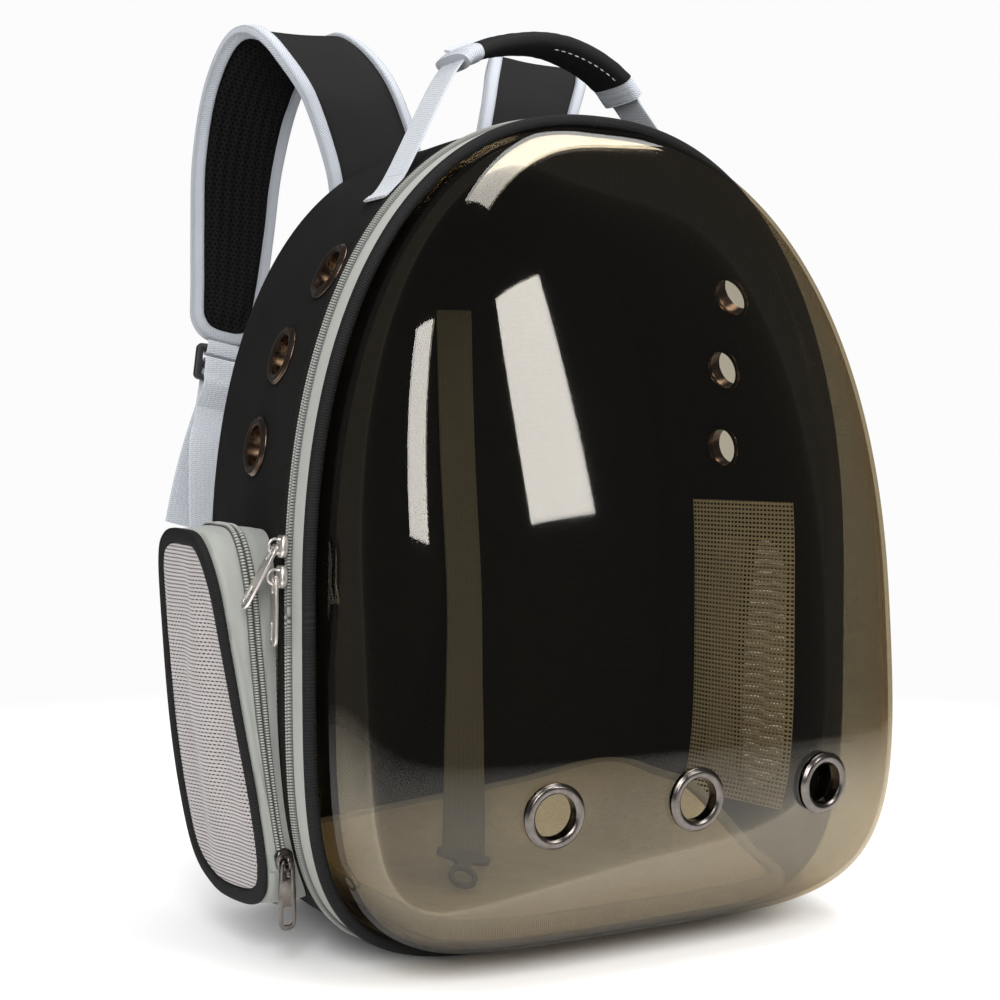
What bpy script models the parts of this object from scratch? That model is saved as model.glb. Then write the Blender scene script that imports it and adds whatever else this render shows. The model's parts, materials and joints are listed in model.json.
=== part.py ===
"""Backpack carrier for a small pet: a soft arched body with a clear dome at the front.

Metres, +Z up. The origin is the middle of the flat base, and the dome faces -Y.
Depths along the body are given from the front face of the piping, and at() turns them into Y.
"""

import math

import bmesh
import bpy
from mathutils import Matrix, Vector

# Body, as an arch seen from the front
BODY_WIDTH = 0.330
BODY_HEIGHT = 0.420
BODY_DEPTH = 0.155
SHOULDER = 0.418  # share of the height where the arch is widest
TOP_POWER = 2.27
LOW_POWER = 4.8
REAR_TAPER = 0.015  # how far each side comes in at the rear
WALL = 0.004
GAP = 0.0003
STATIONS = 56  # points round the arch
BEND_SHARE = 0.05  # metres of length that one radian of bend counts for
CORNER_CLEAR = 0.0022  # room for the flat facets of the wall near its corners

# Front edge and main zip, depths from the front face
PIPING_DEPTH = 0.008
PIPING_WIDTH = 0.0062
TAPE_DEPTH = 0.026
COIL_START = 0.0215
COIL_WIDTH = 0.0075
TAPE_SINK = 0.0010  # how far the tape lies under the surface of the wall
TAPE = 0.0012
COIL_RISE = 0.0012

# Dome
DOME_DEPTH = 0.083
DOME_DEEPEST = 0.256  # share of the height where it is deepest
DOME_SIDE_POWER = 3.8
DOME_LOW_POWER = 2.56
DOME_TOP_POWER = 1.53
DOME_WALL = 0.002
DOME_RINGS = (1.0, 0.993, 0.96, 0.89, 0.76, 0.55, 0.28)

# Eyelets
EYELET_HOLE = 0.0105
EYELET_RIM = 0.0155
EYELET_THICK = 0.0012
EYELET_SEAT = 0.0017  # room behind a curved wall for the flat inner rim
DOME_EYELET_X = 0.079
DOME_EYELET_Z = 0.085
WALL_EYELETS = ((0.051, 0.807), (0.076, 0.7095), (0.088, 0.6))  # depth, share of the height

# Net windows in the side walls, and the net pockets outside them
WINDOW_DEPTHS = (0.040, 0.112)
WINDOW_HEIGHTS = (0.048, 0.214)
WINDOW_SEAM = 0.006
NET = 0.001
POCKET_DEPTHS = (0.0365, 0.121)
POCKET_HEIGHTS = (0.031, 0.207)
POCKET_FRONT_OUT = (0.006, 0.034)  # how far it stands off the body's width, bottom and top
POCKET_REAR_OUT = (0.014, 0.030)
POCKET_SHAPE = (
    (0.03, 0.09),
    (0.11, 0.02),
    (0.30, 0.00),
    (0.60, 0.01),
    (0.82, 0.08),
    (0.93, 0.24),
    (0.98, 0.45),
    (0.97, 0.70),
    (0.92, 0.92),
    (0.78, 0.99),
    (0.50, 1.00),
    (0.25, 0.985),
    (0.13, 0.88),
    (0.12, 0.70),
    (0.10, 0.50),
    (0.05, 0.28),
)  # shares of its depth and height
POCKET_WALL = 0.002
POCKET_STATIONS = 28
BINDING = 0.0075
BINDING_THICK = 0.004
POCKET_BULGE = 0.005

# Back
BACK_THICK = 0.008
CUSHION_THICK = 0.012
CUSHION_MARGIN = 0.030

# Shoulder straps, for the wearer's right: the other is its mirror image
STRAP_PATH = (
    (-0.044, 0.1597, 0.345),
    (-0.044, 0.1597, 0.385),
    (-0.048, 0.1605, 0.415),
    (-0.061, 0.168, 0.456),
    (-0.078, 0.186, 0.482),
    (-0.087, 0.208, 0.483),
    (-0.093, 0.229, 0.459),
    (-0.097, 0.242, 0.420),
    (-0.099, 0.246, 0.380),
    (-0.103, 0.243, 0.345),
    (-0.109, 0.236, 0.318),
)  # x, depth, height
STRAP_HALF = (0.031, 0.0205)  # half width at the top and at the lower end
STRAP_THICK = 0.009
STRAP_BINDING = 0.007
WEB = 0.0015
WEB_HALF = 0.0105
LOCK_LENGTH = 0.022
LOCK_HALF = 0.0155
LOCK_THICK = 0.0036
WEB_PATH = (
    (-0.1270, 0.1561, 0.036),
    (-0.1285, 0.1564, 0.062),
    (-0.1330, 0.1605, 0.088),
    (-0.1375, 0.172, 0.130),
    (-0.1375, 0.190, 0.185),
    (-0.1300, 0.212, 0.245),
)
TAIL_END = (-0.1400, 0.224, 0.206)

# Top handle
HANDLE_HALF = 0.012
HANDLE_DEPTH = 0.048
HANDLE_PATH = (
    (-0.0640, 0.442),
    (-0.0480, 0.4545),
    (-0.0280, 0.4610),
    (-0.0040, 0.4635),
    (0.0180, 0.4590),
    (0.0360, 0.4500),
    (0.0480, 0.4380),
)  # x, height
HANDLE_FOOT = (0.576, 0.7275)  # shares of HALF where the webbing leaves the wall and ends
GRIP_LENGTH = 0.094
GRIP_HALF = 0.0165
GRIP_THICK = 0.0095
GRIP_END = 0.011

# Floor inside
BOARD = 0.0125
BOARD_DEPTHS = (0.012, 0.144)
MAT = 0.009
MAT_EDGE = 0.008
MAT_MARGIN = 0.004

# Leash inside
LEASH_HALF = 0.0115
LEASH_PATH = (
    (-0.004, 0.1459, 0.330),
    (-0.002, 0.1454, 0.250),
    (0.001, 0.1430, 0.170),
    (-0.009, 0.1250, 0.115),
    (-0.028, 0.0920, 0.080),
    (-0.0461, 0.0600, 0.0575),
    (-0.0590, 0.0381, 0.0430),
)
HOOK_LENGTH = 0.028

# Sliders and pulls
SLIDER_LENGTH = 0.011
SLIDER_WIDTH = 0.009
SLIDER_TALL = 0.0040
BAIL_CENTRE = 0.0056
BAIL_INNER = 0.0030
BAIL_OUTER = 0.0042
BAIL_THICK = 0.0018
SLIDER_SHAPE = (
    (-1, -0.6),
    (-0.6, -1),
    (0.6, -1),
    (1, -0.6),
    (1, 0.5),
    (0.4, 1),
    (-0.4, 1),
    (-1, 0.5),
)  # shares of its half width and half length
PULL_LENGTH = 0.034
PULL_WIDTH = 0.0088
PULL_THICK = 0.0015
POCKET_SLIDER = 0.65  # share of the way down the last straight stretch of the pocket's zip
UPPER_SLIDER_Z = 0.2045
LOWER_SLIDER_Z = 0.1900
UPPER_PULL_OUT = 24.0  # degrees that it lies off the wall, on the lower slider
UPPER_PULL_BACK = 9.0

HALF = BODY_WIDTH / 2
SHOULDER_Z = SHOULDER * BODY_HEIGHT
FRONT_Y = -BODY_DEPTH / 2
DEEPEST_Z = DOME_DEEPEST * BODY_HEIGHT
DOME_INSET = PIPING_WIDTH + GAP
PALETTE = {
    "clear": (0.30, 0.24, 0.17, 1),
    "black": (0.02, 0.02, 0.02, 1),
    "grey": (0.55, 0.56, 0.54, 1),
    "pale": (0.72, 0.74, 0.77, 1),
    "metal": (0.50, 0.47, 0.44, 1),
    "net": (0.42, 0.38, 0.37, 1),
    "beige": (0.55, 0.49, 0.38, 1),
}


def at(depth):
    return FRONT_Y + depth


def material(kind):
    found = bpy.data.materials.get(kind)
    if found is None:
        found = bpy.data.materials.new(kind)
        found.use_nodes = True
        shader = found.node_tree.nodes["Principled BSDF"]
        shader.inputs["Base Color"].default_value = PALETTE[kind]
        shader.inputs["Roughness"].default_value = 0.3 if kind in ("clear", "metal") else 0.8
        shader.inputs["Metallic"].default_value = 1.0 if kind == "metal" else 0.0
    return found


def add_mesh(name, points, faces, kind, helper=False):
    """One object from points and faces, its faces turned outwards."""
    mesh = bpy.data.meshes.new(name)
    mesh.from_pydata([tuple(p) for p in points], [], faces)
    work = bmesh.new()
    work.from_mesh(mesh)
    bmesh.ops.recalc_face_normals(work, faces=work.faces)
    if work.calc_volume(signed=True) < 0:
        bmesh.ops.reverse_faces(work, faces=work.faces)
    work.to_mesh(mesh)
    work.free()
    thing = bpy.data.objects.new(name, mesh)
    bpy.context.scene.collection.objects.link(thing)
    mesh.materials.append(material(kind))
    if helper:
        thing.hide_render = True
        thing.display_type = "WIRE"
    return thing


def loft(name, sections, kind, ring=False, helper=False):
    """A skin through closed sections of equal count, capped at its ends or joined into a ring."""
    count = len(sections[0])
    total = len(sections)
    points = [p for section in sections for p in section]
    faces = []
    for i in range(total if ring else total - 1):
        j = (i + 1) % total
        for k in range(count):
            m = (k + 1) % count
            faces.append((i * count + k, i * count + m, j * count + m, j * count + k))
    if not ring:
        faces.append(tuple(range(count)))
        faces.append(tuple(range((total - 1) * count, total * count)))
    return add_mesh(name, points, faces, kind, helper)


def shell(name, rings, count, kind):
    """A thin shell through rings of equal count, with a single point at each end."""
    points = [p for ring in rings for p in ring]
    faces = []
    start = 0
    for first, second in zip(rings, rings[1:]):
        then = start + len(first)
        for k in range(count):
            m = (k + 1) % count
            if len(first) == 1:
                faces.append((start, then + k, then + m))
            elif len(second) == 1:
                faces.append((start + k, start + m, then))
            else:
                faces.append((start + k, start + m, then + m, then + k))
        start = then
    return add_mesh(name, points, faces, kind)


def cut(thing, cutter):
    """Takes the cutter away from the thing."""
    step = thing.modifiers.new("cut", "BOOLEAN")
    step.operation = "DIFFERENCE"
    step.solver = "EXACT"
    step.object = cutter


def join(thing, other):
    """Adds the helper to the thing, as one body."""
    step = thing.modifiers.new("join", "BOOLEAN")
    step.operation = "UNION"
    step.solver = "EXACT"
    step.object = other


def block(name, low, high, frame, kind, helper=False):
    """A box between two corners of a local frame."""
    corners = [(low[0], low[1]), (high[0], low[1]), (high[0], high[1]), (low[0], high[1])]
    sections = [[frame @ Vector((x, y, z)) for x, y in corners] for z in (low[2], high[2])]
    return loft(name, sections, kind, helper=helper)


def frame_of(origin, across, along, out):
    """A local frame: its x across, its y along, its z out of the surface."""
    turned = Matrix((across, along, out)).transposed().to_4x4()
    return Matrix.Translation(origin) @ turned


def rod(name, frame, radius, reach, kind, sides=16, helper=False):
    """A round rod on the frame's z axis, from -reach to +reach."""
    sections = []
    for z in (-reach, reach):
        ring = []
        for k in range(sides):
            angle = 2 * math.pi * (k + 0.5) / sides
            ring.append(frame @ Vector((radius * math.cos(angle), radius * math.sin(angle), z)))
        sections.append(ring)
    return loft(name, sections, kind, helper=helper)


def half_at(z, inset=0.0):
    """Half width of the front outline at a height."""
    if z >= SHOULDER_Z:
        share, power = (z - SHOULDER_Z) / (BODY_HEIGHT - inset - SHOULDER_Z), TOP_POWER
    else:
        share, power = (SHOULDER_Z - z) / (SHOULDER_Z - inset), LOW_POWER
    return (HALF - inset) * max(0.0, 1 - min(1.0, share) ** power) ** (1 / power)


def outline_at(turn, half=HALF):
    """Point of the outline for a turn in radians, from +X towards the top."""
    c, s = math.cos(turn), math.sin(turn)
    power = TOP_POWER if s > 0 else LOW_POWER
    tall = BODY_HEIGHT - SHOULDER_Z if s > 0 else SHOULDER_Z
    x = half * math.copysign(abs(c) ** (2 / power), c)
    z = SHOULDER_Z + tall * math.copysign(abs(s) ** (2 / power), s)
    return Vector((x, z))


def turns_table():
    """A table of length against turn, with more length where the outline bends, so that corners get more points."""
    table = []
    length = 0.0
    steps = 1440
    before = outline_at(0.0)
    heading = None
    for k in range(steps + 1):
        turn = 2 * math.pi * k / steps
        here = outline_at(turn)
        step = here - before
        if step.length > 1e-9:
            angle = math.atan2(step.y, step.x)
            bend = 0.0
            if heading is not None:
                bend = abs((angle - heading + math.pi) % (2 * math.pi) - math.pi)
            heading = angle
            length += step.length + BEND_SHARE * bend
        table.append((length, turn))
        before = here
    return table


TABLE = turns_table()


def turn_at(share):
    """The turn at a share of the outline's length."""
    wanted = (share % 1.0) * TABLE[-1][0]
    low, high = 0, len(TABLE) - 1
    while high - low > 1:
        middle = (low + high) // 2
        if TABLE[middle][0] < wanted:
            low = middle
        else:
            high = middle
    (a, t0), (b, t1) = TABLE[low], TABLE[high]
    return t0 + (t1 - t0) * (wanted - a) / max(b - a, 1e-9)


def turn_at_height(z, right):
    """The turn where the outline passes a height, on one side."""
    low, high = -math.pi / 2, math.pi / 2
    for _ in range(50):
        middle = (low + high) / 2
        if outline_at(middle).y < z:
            low = middle
        else:
            high = middle
    return low if right else math.pi - low


def wall_frame(turn, depth, off=0.0):
    """Point on the body's side at a turn and a depth, moved out by off, with its outward normal."""
    half = HALF - REAR_TAPER * depth / BODY_DEPTH
    here = outline_at(turn, half)
    step = 1e-3
    ahead = outline_at(turn + step, half) - outline_at(turn - step, half)
    normal = Vector((ahead.y, -ahead.x))
    if normal.length > 1e-9:
        normal.normalize()
    else:
        normal = Vector((math.cos(turn), math.sin(turn)))
    spot = Vector((here.x + normal.x * off, at(depth), here.y + normal.y * off))
    return spot, Vector((normal.x, 0, normal.y))


def surface_frame(turn, depth, off=0.0):
    """A local frame on the body's side: x rearwards, y along the arch, z out."""
    spot, normal = wall_frame(turn, depth, off)
    across = (wall_frame(turn, depth + 0.001, off)[0] - spot).normalized()
    out = (normal - across * normal.dot(across)).normalized()
    return frame_of(spot, across, out.cross(across), out)


def band(name, profile, turns, kind, ring=True):
    """A band round the body: its profile is pairs of depth and distance out of the outline."""
    sections = []
    for turn in turns:
        sections.append([wall_frame(turn, depth, off)[0] for depth, off in profile])
    return loft(name, sections, kind, ring=ring)


def smooth(points, steps, closed=False):
    """More points on a smooth curve through the given ones."""
    named = [Vector(p) for p in points]
    count = len(named)
    made = []
    for i in range(count if closed else count - 1):
        if closed:
            a, b, c, d = (named[(i + k - 1) % count] for k in range(4))
        else:
            a, b = named[max(i - 1, 0)], named[i]
            c, d = named[i + 1], named[min(i + 2, count - 1)]
        for k in range(steps):
            t = k / steps
            square = (2 * a - 5 * b + 4 * c - d) * t**2
            cube = (3 * b - a - 3 * c + d) * t**3
            made.append(0.5 * (2 * b + (c - a) * t + square + cube))
    if not closed:
        made.append(named[-1])
    return made


def strap_frames(path, across):
    """Point, across and out for each point of a path, for a flat strap."""
    frames = []
    for i, here in enumerate(path):
        along = (path[min(i + 1, len(path) - 1)] - path[max(i - 1, 0)]).normalized()
        side = (across - along * across.dot(along)).normalized()
        frames.append((here, side, along.cross(side).normalized()))
    return frames


def strap(name, path, across, half, thick, kind):
    """A flat strap of even width along a path."""
    sections = []
    for here, side, out in strap_frames(path, across):
        ring = []
        for u, v in ((-1, -1), (1, -1), (1, 1), (-1, 1)):
            ring.append(here + side * (half * u) + out * (thick / 2 * v))
        sections.append(ring)
    return loft(name, sections, kind)


def dome_depth(x, z, inset, depth):
    """How far the dome stands out in front at x and z."""
    top, bottom = BODY_HEIGHT - inset, inset
    if z >= DEEPEST_Z:
        share, power = (z - DEEPEST_Z) / (top - DEEPEST_Z), DOME_TOP_POWER
    else:
        share, power = (DEEPEST_Z - z) / (DEEPEST_Z - bottom), DOME_LOW_POWER
    tall = depth * max(0.0, 1 - min(1.0, share) ** power) ** (1 / power)
    wide = min(1.0, abs(x) / max(half_at(z, inset), 1e-6))
    return tall * max(0.0, 1 - wide**DOME_SIDE_POWER) ** (1 / DOME_SIDE_POWER)


def dome_skin(inset, depth):
    """Rings of the dome from its edge to its middle, and the middle."""
    rings = []
    for share in DOME_RINGS:
        ring = []
        for turn in ring_turns(STATIONS):
            edge = wall_frame(turn, 0.0, -inset)[0]
            whole = outline_at(turn)
            tall = BODY_HEIGHT - SHOULDER_Z if whole.y > SHOULDER_Z else SHOULDER_Z
            x = whole.x * (HALF - inset) / HALF * share
            z = SHOULDER_Z + (whole.y - SHOULDER_Z) * (tall - inset) / tall
            z = DEEPEST_Z + (z - DEEPEST_Z) * share
            front = FRONT_Y - dome_depth(x, z, inset, depth)
            ring.append(Vector((edge.x * share, front, DEEPEST_Z + (edge.z - DEEPEST_Z) * share)))
        rings.append(ring)
    return rings, Vector((0, FRONT_Y - depth, DEEPEST_Z))


def make_dome():
    """The clear dome, as a thin shell with a short flange inside the piping."""
    outer, outer_tip = dome_skin(DOME_INSET, DOME_DEPTH)
    inner, inner_tip = dome_skin(DOME_INSET + DOME_WALL, DOME_DEPTH - DOME_WALL)
    turns = ring_turns(STATIONS)
    back = [wall_frame(turn, PIPING_DEPTH, -DOME_INSET)[0] for turn in turns]
    back_inner = [wall_frame(turn, PIPING_DEPTH, -DOME_INSET - DOME_WALL)[0] for turn in turns]
    rings = [[outer_tip]] + outer[::-1] + [back, back_inner] + inner + [[inner_tip]]
    return shell("bubble", rings, STATIONS, "clear")


def eyelet(name, frame, wall):
    """An eyelet with a rim on both sides of a curved wall that lies from -wall to 0 of the frame."""
    hole = EYELET_HOLE - 0.0012
    tube = EYELET_HOLE - GAP
    outer = GAP * 2
    inner = -wall - EYELET_SEAT
    profile = (
        (hole, outer + EYELET_THICK),
        ((hole + EYELET_RIM) / 2, outer + EYELET_THICK + 0.0008),
        (EYELET_RIM, outer),
        (tube, outer),
        (tube, inner),
        (EYELET_RIM - 0.002, inner),
        (hole, inner - EYELET_THICK),
    )
    sections = []
    sides = 12
    for k in range(sides):
        angle = 2 * math.pi * k / sides
        c, s = math.cos(angle), math.sin(angle)
        sections.append([frame @ Vector((r * c, r * s, z)) for r, z in profile])
    return loft(name, sections, "metal", ring=True)


def dome_eyelets(dome):
    """Three eyelets low on the front of the dome, in holes cut for them."""
    step = 0.002
    for number, x in enumerate((-DOME_EYELET_X, 0.0, DOME_EYELET_X), 1):
        z = DOME_EYELET_Z
        left, right, down, up = (
            dome_depth(x + dx, z + dz, DOME_INSET, DOME_DEPTH)
            for dx, dz in ((-step, 0), (step, 0), (0, -step), (0, step))
        )
        out = Vector(((left - right) / (2 * step), -1, (down - up) / (2 * step))).normalized()
        across = Vector((1, 0, 0)) - out * out.x
        across.normalize()
        spot = Vector((x, FRONT_Y - dome_depth(x, z, DOME_INSET, DOME_DEPTH), z))
        frame = frame_of(spot, across, out.cross(across), out)
        cut(dome, rod(f"dome_hole_{number}", frame, EYELET_HOLE, 0.012, "clear", helper=True))
        eyelet(f"bubble_grommet_{number}", frame, DOME_WALL)


def ring_turns(count):
    return [turn_at((k + 0.5) / count) for k in range(count)]


def make_front():
    """Piping that holds the dome, and the main zip sunk in the wall behind it."""
    inner = -PIPING_WIDTH
    bulge = PIPING_WIDTH * 0.3
    piping = (
        (PIPING_DEPTH * 0.15, -bulge * 0.6),
        (PIPING_DEPTH * 0.5, 0.0),
        (PIPING_DEPTH, -0.0004),
        (PIPING_DEPTH, inner),
        (0.0, inner),
        (0.0, -bulge * 1.6),
    )
    band("front_piping", piping, ring_turns(STATIONS), "black")
    start = PIPING_DEPTH + GAP
    end = PIPING_DEPTH + TAPE_DEPTH
    low = -TAPE_SINK - TAPE
    tape = ((start, -TAPE_SINK), (end, -TAPE_SINK), (end, low), (start, low))
    band("zip_tape", tape, ring_turns(STATIONS), "grey")
    sections = []
    coil_end = COIL_START + COIL_WIDTH
    foot = -TAPE_SINK + GAP
    for turn in ring_turns(STATIONS):
        # Under the base the coil stays inside the wall, so that the base rests flat.
        lift = min(1.0, max(0.0, (outline_at(turn).y - 0.004) / 0.012))
        top = -0.0002 + (COIL_RISE + 0.0002) * lift
        rows = (
            (COIL_START, foot),
            (COIL_START + 0.001, top),
            (coil_end - 0.001, top),
            (coil_end, foot),
        )
        sections.append([wall_frame(turn, depth, off)[0] for depth, off in rows])
    loft("zip_coil", sections, "grey", ring=True)


def make_wall():
    """The arched body wall, open at the front, with its eyelets and side windows."""
    start = PIPING_DEPTH + GAP
    step = PIPING_DEPTH + TAPE_DEPTH + GAP
    sink = -TAPE_SINK - TAPE - GAP
    profile = (
        (start, sink),
        (step, sink),
        (step, 0.0),
        (BODY_DEPTH, 0.0),
        (BODY_DEPTH, -WALL),
        (start, -WALL),
    )
    wall = band("gusset_wall", profile, ring_turns(STATIONS), "black")
    for right in (False, True):
        side = "R" if right else "L"
        for number, (depth, share) in enumerate(WALL_EYELETS, 1):
            turn = turn_at_height(share * BODY_HEIGHT, right)
            frame = surface_frame(turn, depth)
            hole = f"wall_hole_{side}{number}"
            cut(wall, rod(hole, frame, EYELET_HOLE, 0.012, "black", helper=True))
            eyelet(f"wall_grommet_{side}{number}", frame, WALL)
    low, high = WINDOW_HEIGHTS
    front, rear = WINDOW_DEPTHS
    first = (-HALF * 2, at(front), low)
    last = (HALF * 2, at(rear), high)
    cut(wall, block("window_cut", first, last, Matrix.Identity(4), "black", helper=True))
    for right in (False, True):
        side = "R" if right else "L"
        seam = WINDOW_SEAM
        first = turn_at_height(low - seam, right)
        last = turn_at_height(high + seam, right)
        turns = [first + (last - first) * k / 10 for k in range(11)]
        near = -WALL - GAP - 0.0007
        shape = (
            (front - seam, near),
            (rear + seam, near),
            (rear + seam, near - NET),
            (front - seam, near - NET),
        )
        band(f"window_net_{side}", shape, turns, "net", ring=False)


def make_back():
    """Stiff back inside the rear end of the wall, and the cushion on it."""
    inset = WALL + GAP
    sections = []
    for depth in (BODY_DEPTH - BACK_THICK, BODY_DEPTH - 0.0004):
        sections.append([wall_frame(turn, depth, -inset)[0] for turn in ring_turns(STATIONS)])
    loft("back_panel", sections, "black")
    sections = []
    for depth, margin in ((GAP - 0.0004, 0.0), (CUSHION_THICK * 0.6, 0.0), (CUSHION_THICK, 0.008)):
        ring = []
        for turn in ring_turns(40):
            edge, _ = wall_frame(turn, BODY_DEPTH, 0.0)
            x = edge.x * (HALF - CUSHION_MARGIN - margin) / HALF
            top = 0.330 - margin
            low = 0.030 + margin
            z = low + (top - low) * edge.z / BODY_HEIGHT
            ring.append(Vector((x, at(BODY_DEPTH + depth), z)))
        sections.append(ring)
    loft("back_cushion", sections, "black")


def pocket_point(u, v, side, out_share):
    """A point of the pocket from its shares of depth and height.

    out_share is 0 on the body and 1 on the face.
    """
    depth = POCKET_DEPTHS[0] + (POCKET_DEPTHS[1] - POCKET_DEPTHS[0]) * u
    z = POCKET_HEIGHTS[0] + (POCKET_HEIGHTS[1] - POCKET_HEIGHTS[0]) * v
    front = POCKET_FRONT_OUT[0] + (POCKET_FRONT_OUT[1] - POCKET_FRONT_OUT[0]) * max(v, 0.0) ** 1.5
    rear = POCKET_REAR_OUT[0] + (POCKET_REAR_OUT[1] - POCKET_REAR_OUT[0]) * max(v, 0.0)
    far = HALF + front + (rear - front) * u
    half = half_at(z) * (HALF - REAR_TAPER * depth / BODY_DEPTH) / HALF
    near = half + GAP * 2
    return Vector((side * (near + (far - near) * out_share), at(depth), z))


def pocket_outline(count, spread):
    """Even points on the pocket's outline, spread out (or in) by a distance."""
    curve = smooth([Vector((u, v)) for u, v in POCKET_SHAPE], 8, closed=True)
    wide = POCKET_DEPTHS[1] - POCKET_DEPTHS[0]
    tall = POCKET_HEIGHTS[1] - POCKET_HEIGHTS[0]
    real = [Vector((p.x * wide, p.y * tall)) for p in curve]
    lengths = [0.0]
    for a, b in zip(real, real[1:] + real[:1]):
        lengths.append(lengths[-1] + (b - a).length)
    made = []
    for k in range(count):
        wanted = lengths[-1] * k / count
        i = max(j for j in range(len(real)) if lengths[j] <= wanted)
        a, b = real[i], real[(i + 1) % len(real)]
        here = a + (b - a) * ((wanted - lengths[i]) / (lengths[i + 1] - lengths[i]))
        ahead = (real[(i + 2) % len(real)] - real[i - 1]).normalized()
        made.append((here + Vector((ahead.y, -ahead.x)) * spread, Vector((wide, tall))))
    return [Vector((p.x / size.x, p.y / size.y)) for p, size in made]


def make_pocket(right):
    """One side pocket: wall, zip, net face and binding."""
    side = 1 if right else -1
    tag = "R" if right else "L"
    count = POCKET_STATIONS
    outer = pocket_outline(count, 0.004)
    inner = pocket_outline(count, 0.004 - POCKET_WALL)
    rim = 1 - BINDING_THICK / 0.030
    wall = []
    for a, b in zip(outer, inner):
        spots = ((a, 0), (a, rim), (b, rim), (b, 0))
        wall.append([pocket_point(p.x, p.y, side, share) for p, share in spots])
    loft(f"pocket_wall_{tag}", wall, "grey", ring=True)
    low = pocket_outline(count, 0.004 + GAP)
    high = pocket_outline(count, 0.004 + GAP + COIL_RISE)
    coil = []
    for a, b in zip(low[1:] + low[:1], high[1:] + high[:1]):
        spots = ((a, 0.30), (b, 0.33), (b, 0.52), (a, 0.55))
        coil.append([pocket_point(p.x, p.y, side, share) for p, share in spots])
    loft(f"pocket_coil_{tag}", coil, "grey")
    edge_out = pocket_outline(count, 0.0046)
    edge_in = pocket_outline(count, 0.0046 - BINDING)
    binding = []
    for a, b in zip(edge_out, edge_in):
        shift = Vector((side * GAP, 0, 0))
        outside = pocket_point(a.x, a.y, side, 1)
        base = pocket_point(a.x, a.y, side, rim)
        inside = pocket_point(b.x, b.y, side, 1) + (outside - base) * 0.35
        under = pocket_point(b.x, b.y, side, rim)
        binding.append([base + shift, outside, inside, under + shift])
    loft(f"pocket_binding_{tag}", binding, "black", ring=True)
    make_face(tag, side, count, rim)
    return outer


def make_face(tag, side, count, rim):
    """The pocket's net face, a thin sheet that bulges a little inside its binding."""
    edge = pocket_outline(count, 0.0046 - BINDING - GAP)
    middle = Vector((0.52, 0.50))
    sheets = []
    for back in (0.0, NET):
        rings = []
        for share in (1.0, 0.62):
            ring = []
            for p in edge:
                q = middle + (p - middle) * share
                here = pocket_point(q.x, q.y, side, 1)
                rise = POCKET_BULGE * (1 - share**2) - back - 0.0008
                ring.append(here + Vector((side * rise, 0, 0)))
            rings.append(ring)
        rise = POCKET_BULGE - back - 0.0008
        tip = pocket_point(middle.x, middle.y, side, 1) + Vector((side * rise, 0, 0))
        sheets.append((rings, tip))
    (front, front_tip), (back, back_tip) = sheets
    rings = [[front_tip]] + front[::-1] + back + [[back_tip]]
    shell(f"pocket_face_{tag}", rings, count, "net")


def mirrored(points, side):
    """The strap's points are those of the -X side."""
    return [Vector((-side * x, at(depth), z)) for x, depth, z in points]


def make_strap(right):
    """One padded shoulder strap with its binding, adjuster and webbing."""
    side = 1 if right else -1
    tag = "R" if right else "L"
    across = Vector((1, 0, 0))
    path = smooth(mirrored(STRAP_PATH, side), 2)
    frames = strap_frames(path, across)
    count = len(frames)
    pad = []
    left, right_edge = [], []
    for i, (here, wide, out) in enumerate(frames):
        share = i / (count - 1)
        half = STRAP_HALF[0] + (STRAP_HALF[1] - STRAP_HALF[0]) * max(0.0, (share - 0.5) * 2) ** 1.5
        body = half - STRAP_BINDING - GAP
        thick = STRAP_THICK / 2
        spots = (
            (-body, -thick * 0.8),
            (0, -thick),
            (body, -thick * 0.8),
            (body, thick * 0.8),
            (0, thick),
            (-body, thick * 0.8),
        )
        pad.append([here + wide * u + out * v for u, v in spots])
        edge = thick * 0.95
        for sign, rows in ((-1, left), (1, right_edge)):
            far = here + wide * (sign * half)
            near = here + wide * (sign * (half - STRAP_BINDING))
            tall = out * edge
            rows.append([far - tall * 0.7, far + tall * 0.7, near + tall, near - tall])
    loft(f"strap_pad_{tag}", pad, "black")
    here, wide, out = frames[-1]
    along = (path[-1] - path[-2]).normalized()
    turns = []
    edge = STRAP_THICK / 2 * 0.95
    for sign in (-1, 1):
        far = here + wide * sign * STRAP_HALF[1] * 0.9 + along * STRAP_BINDING
        near = here + wide * sign * (STRAP_HALF[1] - STRAP_BINDING) + along * GAP
        tall = out * edge
        turns.append([far - tall * 0.7, far + tall * 0.7, near + tall, near - tall])
    loft(f"strap_binding_{tag}", left + turns + right_edge[::-1], "pale")
    lock_top = here + along * (STRAP_BINDING + 0.0045)
    make_lock(tag, side, lock_top, wide, along, out)


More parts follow.
